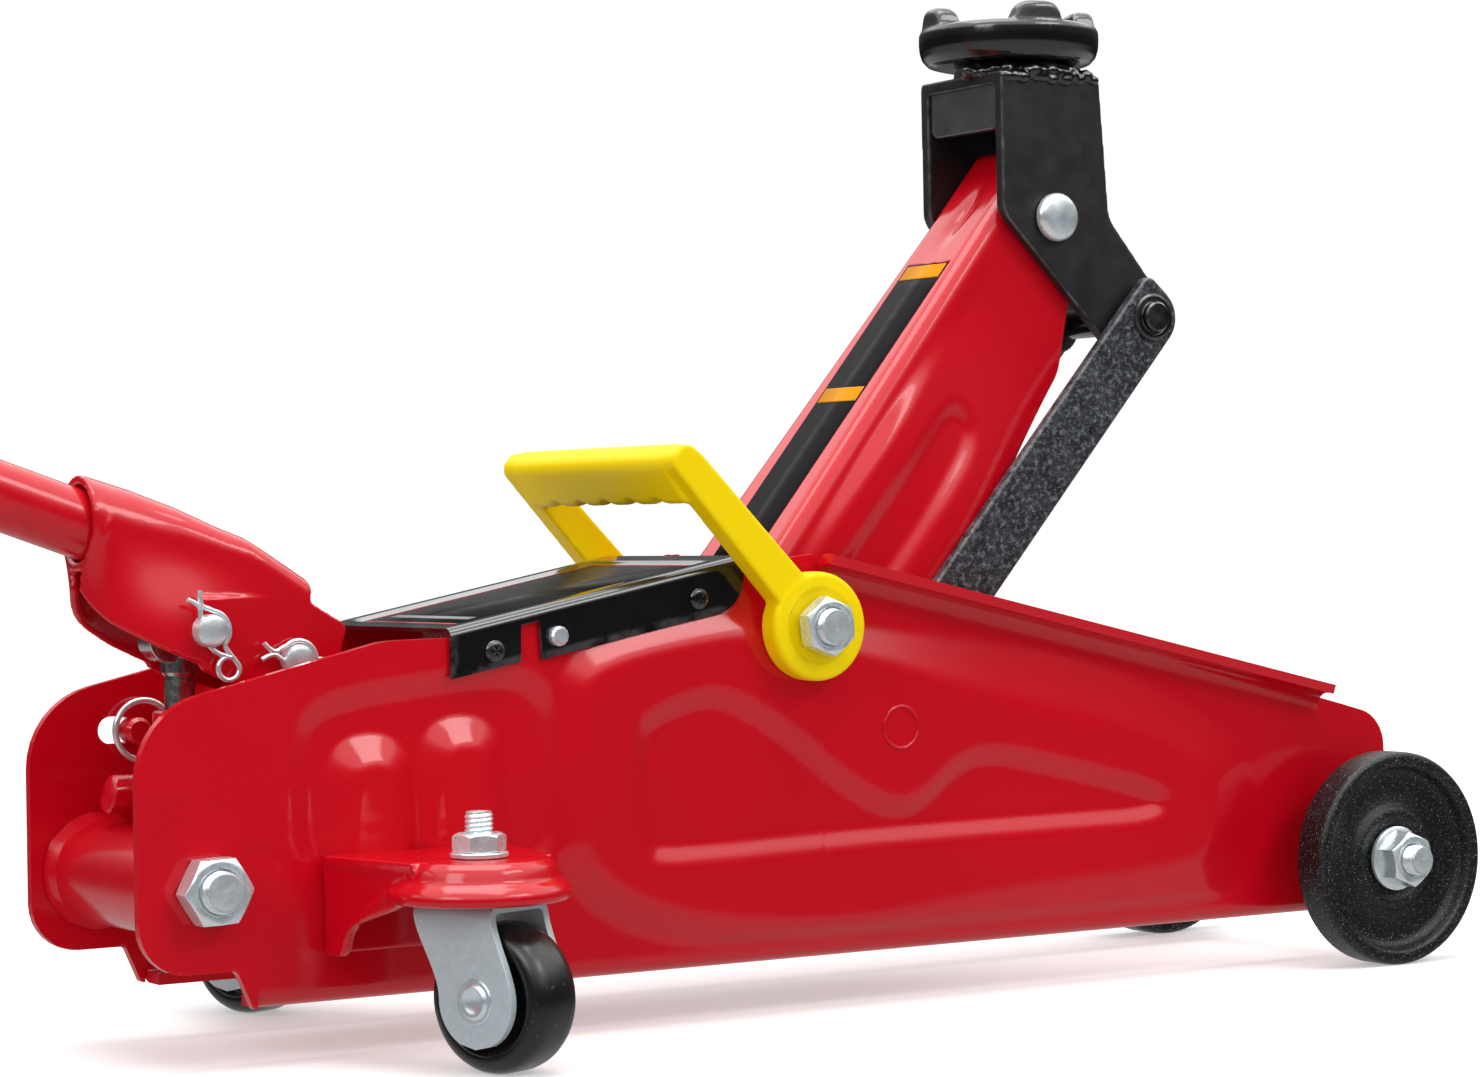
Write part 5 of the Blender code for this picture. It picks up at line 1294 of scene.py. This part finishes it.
# ---- return spring ----------------------------------------------------------
def return_spring():
    """Coil spring that stretches between the spring pin and the ram pin."""
    hook, ram_pin = spot(middle("spring_pin")), spot(middle("ram_pin"))
    start = Vector((hook.x, 14.5, hook.z))
    end = Vector((ram_pin.x, 14.5, ram_pin.z))
    along = (end - start).normalized()
    side = Vector((0.0, 1.0, 0.0))
    up = side.cross(along)
    length = (end - start).length
    turns, lead, radius = 30, 12.0, 2.8
    points = [start - (along * math.cos(math.radians(a)) + up * math.sin(math.radians(a))) * 4.0
              for a in range(-60, 200, 26)]
    for step in range(turns * 8 + 1):
        angle = math.tau * step / 8
        reach = lead + (length - 2.0 * lead) * step / (turns * 8)
        points.append(start + along * reach + (side * math.cos(angle) + up * math.sin(angle)) * radius)
    points += [end + (along * math.cos(math.radians(a)) + up * math.sin(math.radians(a))) * 6.3
               for a in range(180, 420, 26)]
    piece = wire("return_spring_fine", points, 0.7, ZINC, None)
    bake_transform(piece)
    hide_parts("return_spring")


# ---- studio -----------------------------------------------------------------
def soft_world():
    """An even pale surround whose reflections are dim at eye level and bright overhead."""
    world = bpy.data.worlds.new("studio")
    world.use_nodes = True
    tree = world.node_tree
    paths = tree.nodes.new("ShaderNodeLightPath")
    ray = tree.nodes.new("ShaderNodeTexCoord")
    parts = tree.nodes.new("ShaderNodeSeparateXYZ")
    tree.links.new(ray.outputs["Generated"], parts.inputs["Vector"])
    sky = tree.nodes.new("ShaderNodeFloatCurve")
    curve = sky.mapping.curves[0]
    curve.points[0].location = (0.0, 0.28)
    curve.points[1].location = (1.0, 1.0)
    for place, level in ((0.36, 0.22), (0.46, 0.02), (0.58, 0.03), (0.68, 0.30), (0.76, 0.95)):
        curve.points.new(place, level)
    sky.mapping.update()
    rise = tree.nodes.new("ShaderNodeMapRange")
    rise.inputs["From Min"].default_value = -1.0
    tree.links.new(parts.outputs["Z"], rise.inputs["Value"])
    tree.links.new(rise.outputs["Result"], sky.inputs["Value"])
    gain = tree.nodes.new("ShaderNodeMath")
    gain.operation = "MULTIPLY"
    gain.inputs[1].default_value = 2.1
    tree.links.new(sky.outputs["Value"], gain.inputs[0])
    mix = tree.nodes.new("ShaderNodeMix")
    mix.inputs["A"].default_value = 0.62
    tree.links.new(paths.outputs["Is Glossy Ray"], mix.inputs["Factor"])
    tree.links.new(gain.outputs["Value"], mix.inputs["B"])
    tree.links.new(mix.outputs["Result"], tree.nodes["Background"].inputs["Strength"])
    tree.nodes["Background"].inputs["Color"].default_value = (1.0, 1.0, 1.0, 1.0)
    return world


def studio():
    """Pale seamless backdrop, soft lights and the camera."""
    scene = bpy.context.scene
    scene.view_settings.view_transform = "Standard"
    scene.world = soft_world()
    paper = Finish("pale_paper", (0.84, 0.84, 0.84), 0.8)
    paper.bump(paper.noise(40.0), 0.0001, 0.2)
    paper.shader.inputs["Emission Color"].default_value = (1.0, 1.0, 1.0, 1.0)
    paper.shader.inputs["Emission Strength"].default_value = 0.39
    bm = bmesh.new()
    reach, rise, fillet = 3.5, 3.0, 1.0
    profile = [(0.0, 0.0), (reach - fillet, 0.0)]
    profile += [(reach - fillet + fillet * math.sin(a), fillet - fillet * math.cos(a))
                for a in np.radians(np.linspace(5.0, 90.0, 12))]
    profile.append((reach, rise))
    steps = 64
    rings = [[bm.verts.new((r * math.cos(math.tau * s / steps), r * math.sin(math.tau * s / steps), z))
              for s in range(steps)] for r, z in profile[1:]]
    centre = bm.verts.new((0.0, 0.0, 0.0))
    for s in range(steps):
        bm.faces.new((centre, rings[0][s], rings[0][(s + 1) % steps]))
    for low, high in zip(rings, rings[1:]):
        for s in range(steps):
            bm.faces.new((low[s], high[s], high[(s + 1) % steps], low[(s + 1) % steps]))
    mesh = bpy.data.meshes.new("backdrop")
    bm.to_mesh(mesh)
    bm.free()
    mesh.shade_smooth()
    mesh.materials.append(paper.material)
    backdrop = bpy.data.objects.new("backdrop", mesh)
    backdrop.visible_diffuse = False
    backdrop.visible_glossy = False
    backdrop.visible_shadow = False
    scene.collection.objects.link(backdrop)

    lights = (("overhead", (0.0, -0.1, 1.8), (0.1, 0.0, 0.1), 1.6, 1.0, 22.0),
              ("left_panel", (-1.5, -0.7, 1.1), (0.0, 0.0, 0.15), 0.8, 0.7, 7.0),
              ("right_panel", (0.9, -1.5, 1.5), (0.1, 0.0, 0.1), 1.1, 0.5, 10.0))
    for name, place, target, width, height, power in lights:
        data = bpy.data.lights.new(name, "AREA")
        data.shape = "RECTANGLE"
        data.size, data.size_y = width, height
        data.energy = power
        lamp = bpy.data.objects.new(name, data)
        lamp.location = place
        lamp.rotation_euler = (Vector(place) - Vector(target)).to_track_quat("Z", "Y").to_euler()
        scene.collection.objects.link(lamp)

    azimuth, elevation, roll = math.radians(-33.36), math.radians(0.45), math.radians(-0.82)
    back = Vector((math.sin(azimuth) * math.cos(elevation), -math.cos(azimuth) * math.cos(elevation),
                   math.sin(elevation)))
    level = Vector((0, 0, 1)).cross(back).normalized()
    upright = back.cross(level)
    right = level * math.cos(roll) + upright * math.sin(roll)
    up = upright * math.cos(roll) - level * math.sin(roll)
    place = Vector((AXLE_X - 0.8160, -0.9484, 0.1459))
    data = bpy.data.cameras.new("photo_view")
    data.sensor_width = 36.0
    data.lens = 87.56
    data.shift_x = -0.0391
    data.shift_y = 0.0133
    data.clip_start = 0.05
    camera = bpy.data.objects.new("photo_view", data)
    camera.matrix_world = Matrix(((right.x, up.x, back.x, place.x), (right.y, up.y, back.y, place.y),
                                  (right.z, up.z, back.z, place.z), (0, 0, 0, 1)))
    scene.collection.objects.link(camera)
    scene.camera = camera


# ---- assembly ---------------------------------------------------------------
for which in SIDES:
    side_plate(which)
    caster_bracket(which)
    caster(which)
press_marks()
cover()
cover_screws()
fasteners()
lift_arm()
saddle_bracket()
saddle()
links()
handle_socket()
handle()
pump_pins()
rear_tube()
release_valve()
front_wheels()
carry_handle()
return_spring()

refine("pump_block", RED, voxel=0.9, smooth=3)
refine("ram_cylinder", RED)
refine("filler_plug", GRIP)
pump_plunger()
for steel_node in ("ram", "gland_nut"):
    refine(steel_node, STEEL)
for zinc_node in ("spring_pin", "ram_pin", "link_stud_right", "link_stud_left"):
    refine(zinc_node, ZINC)

studio()
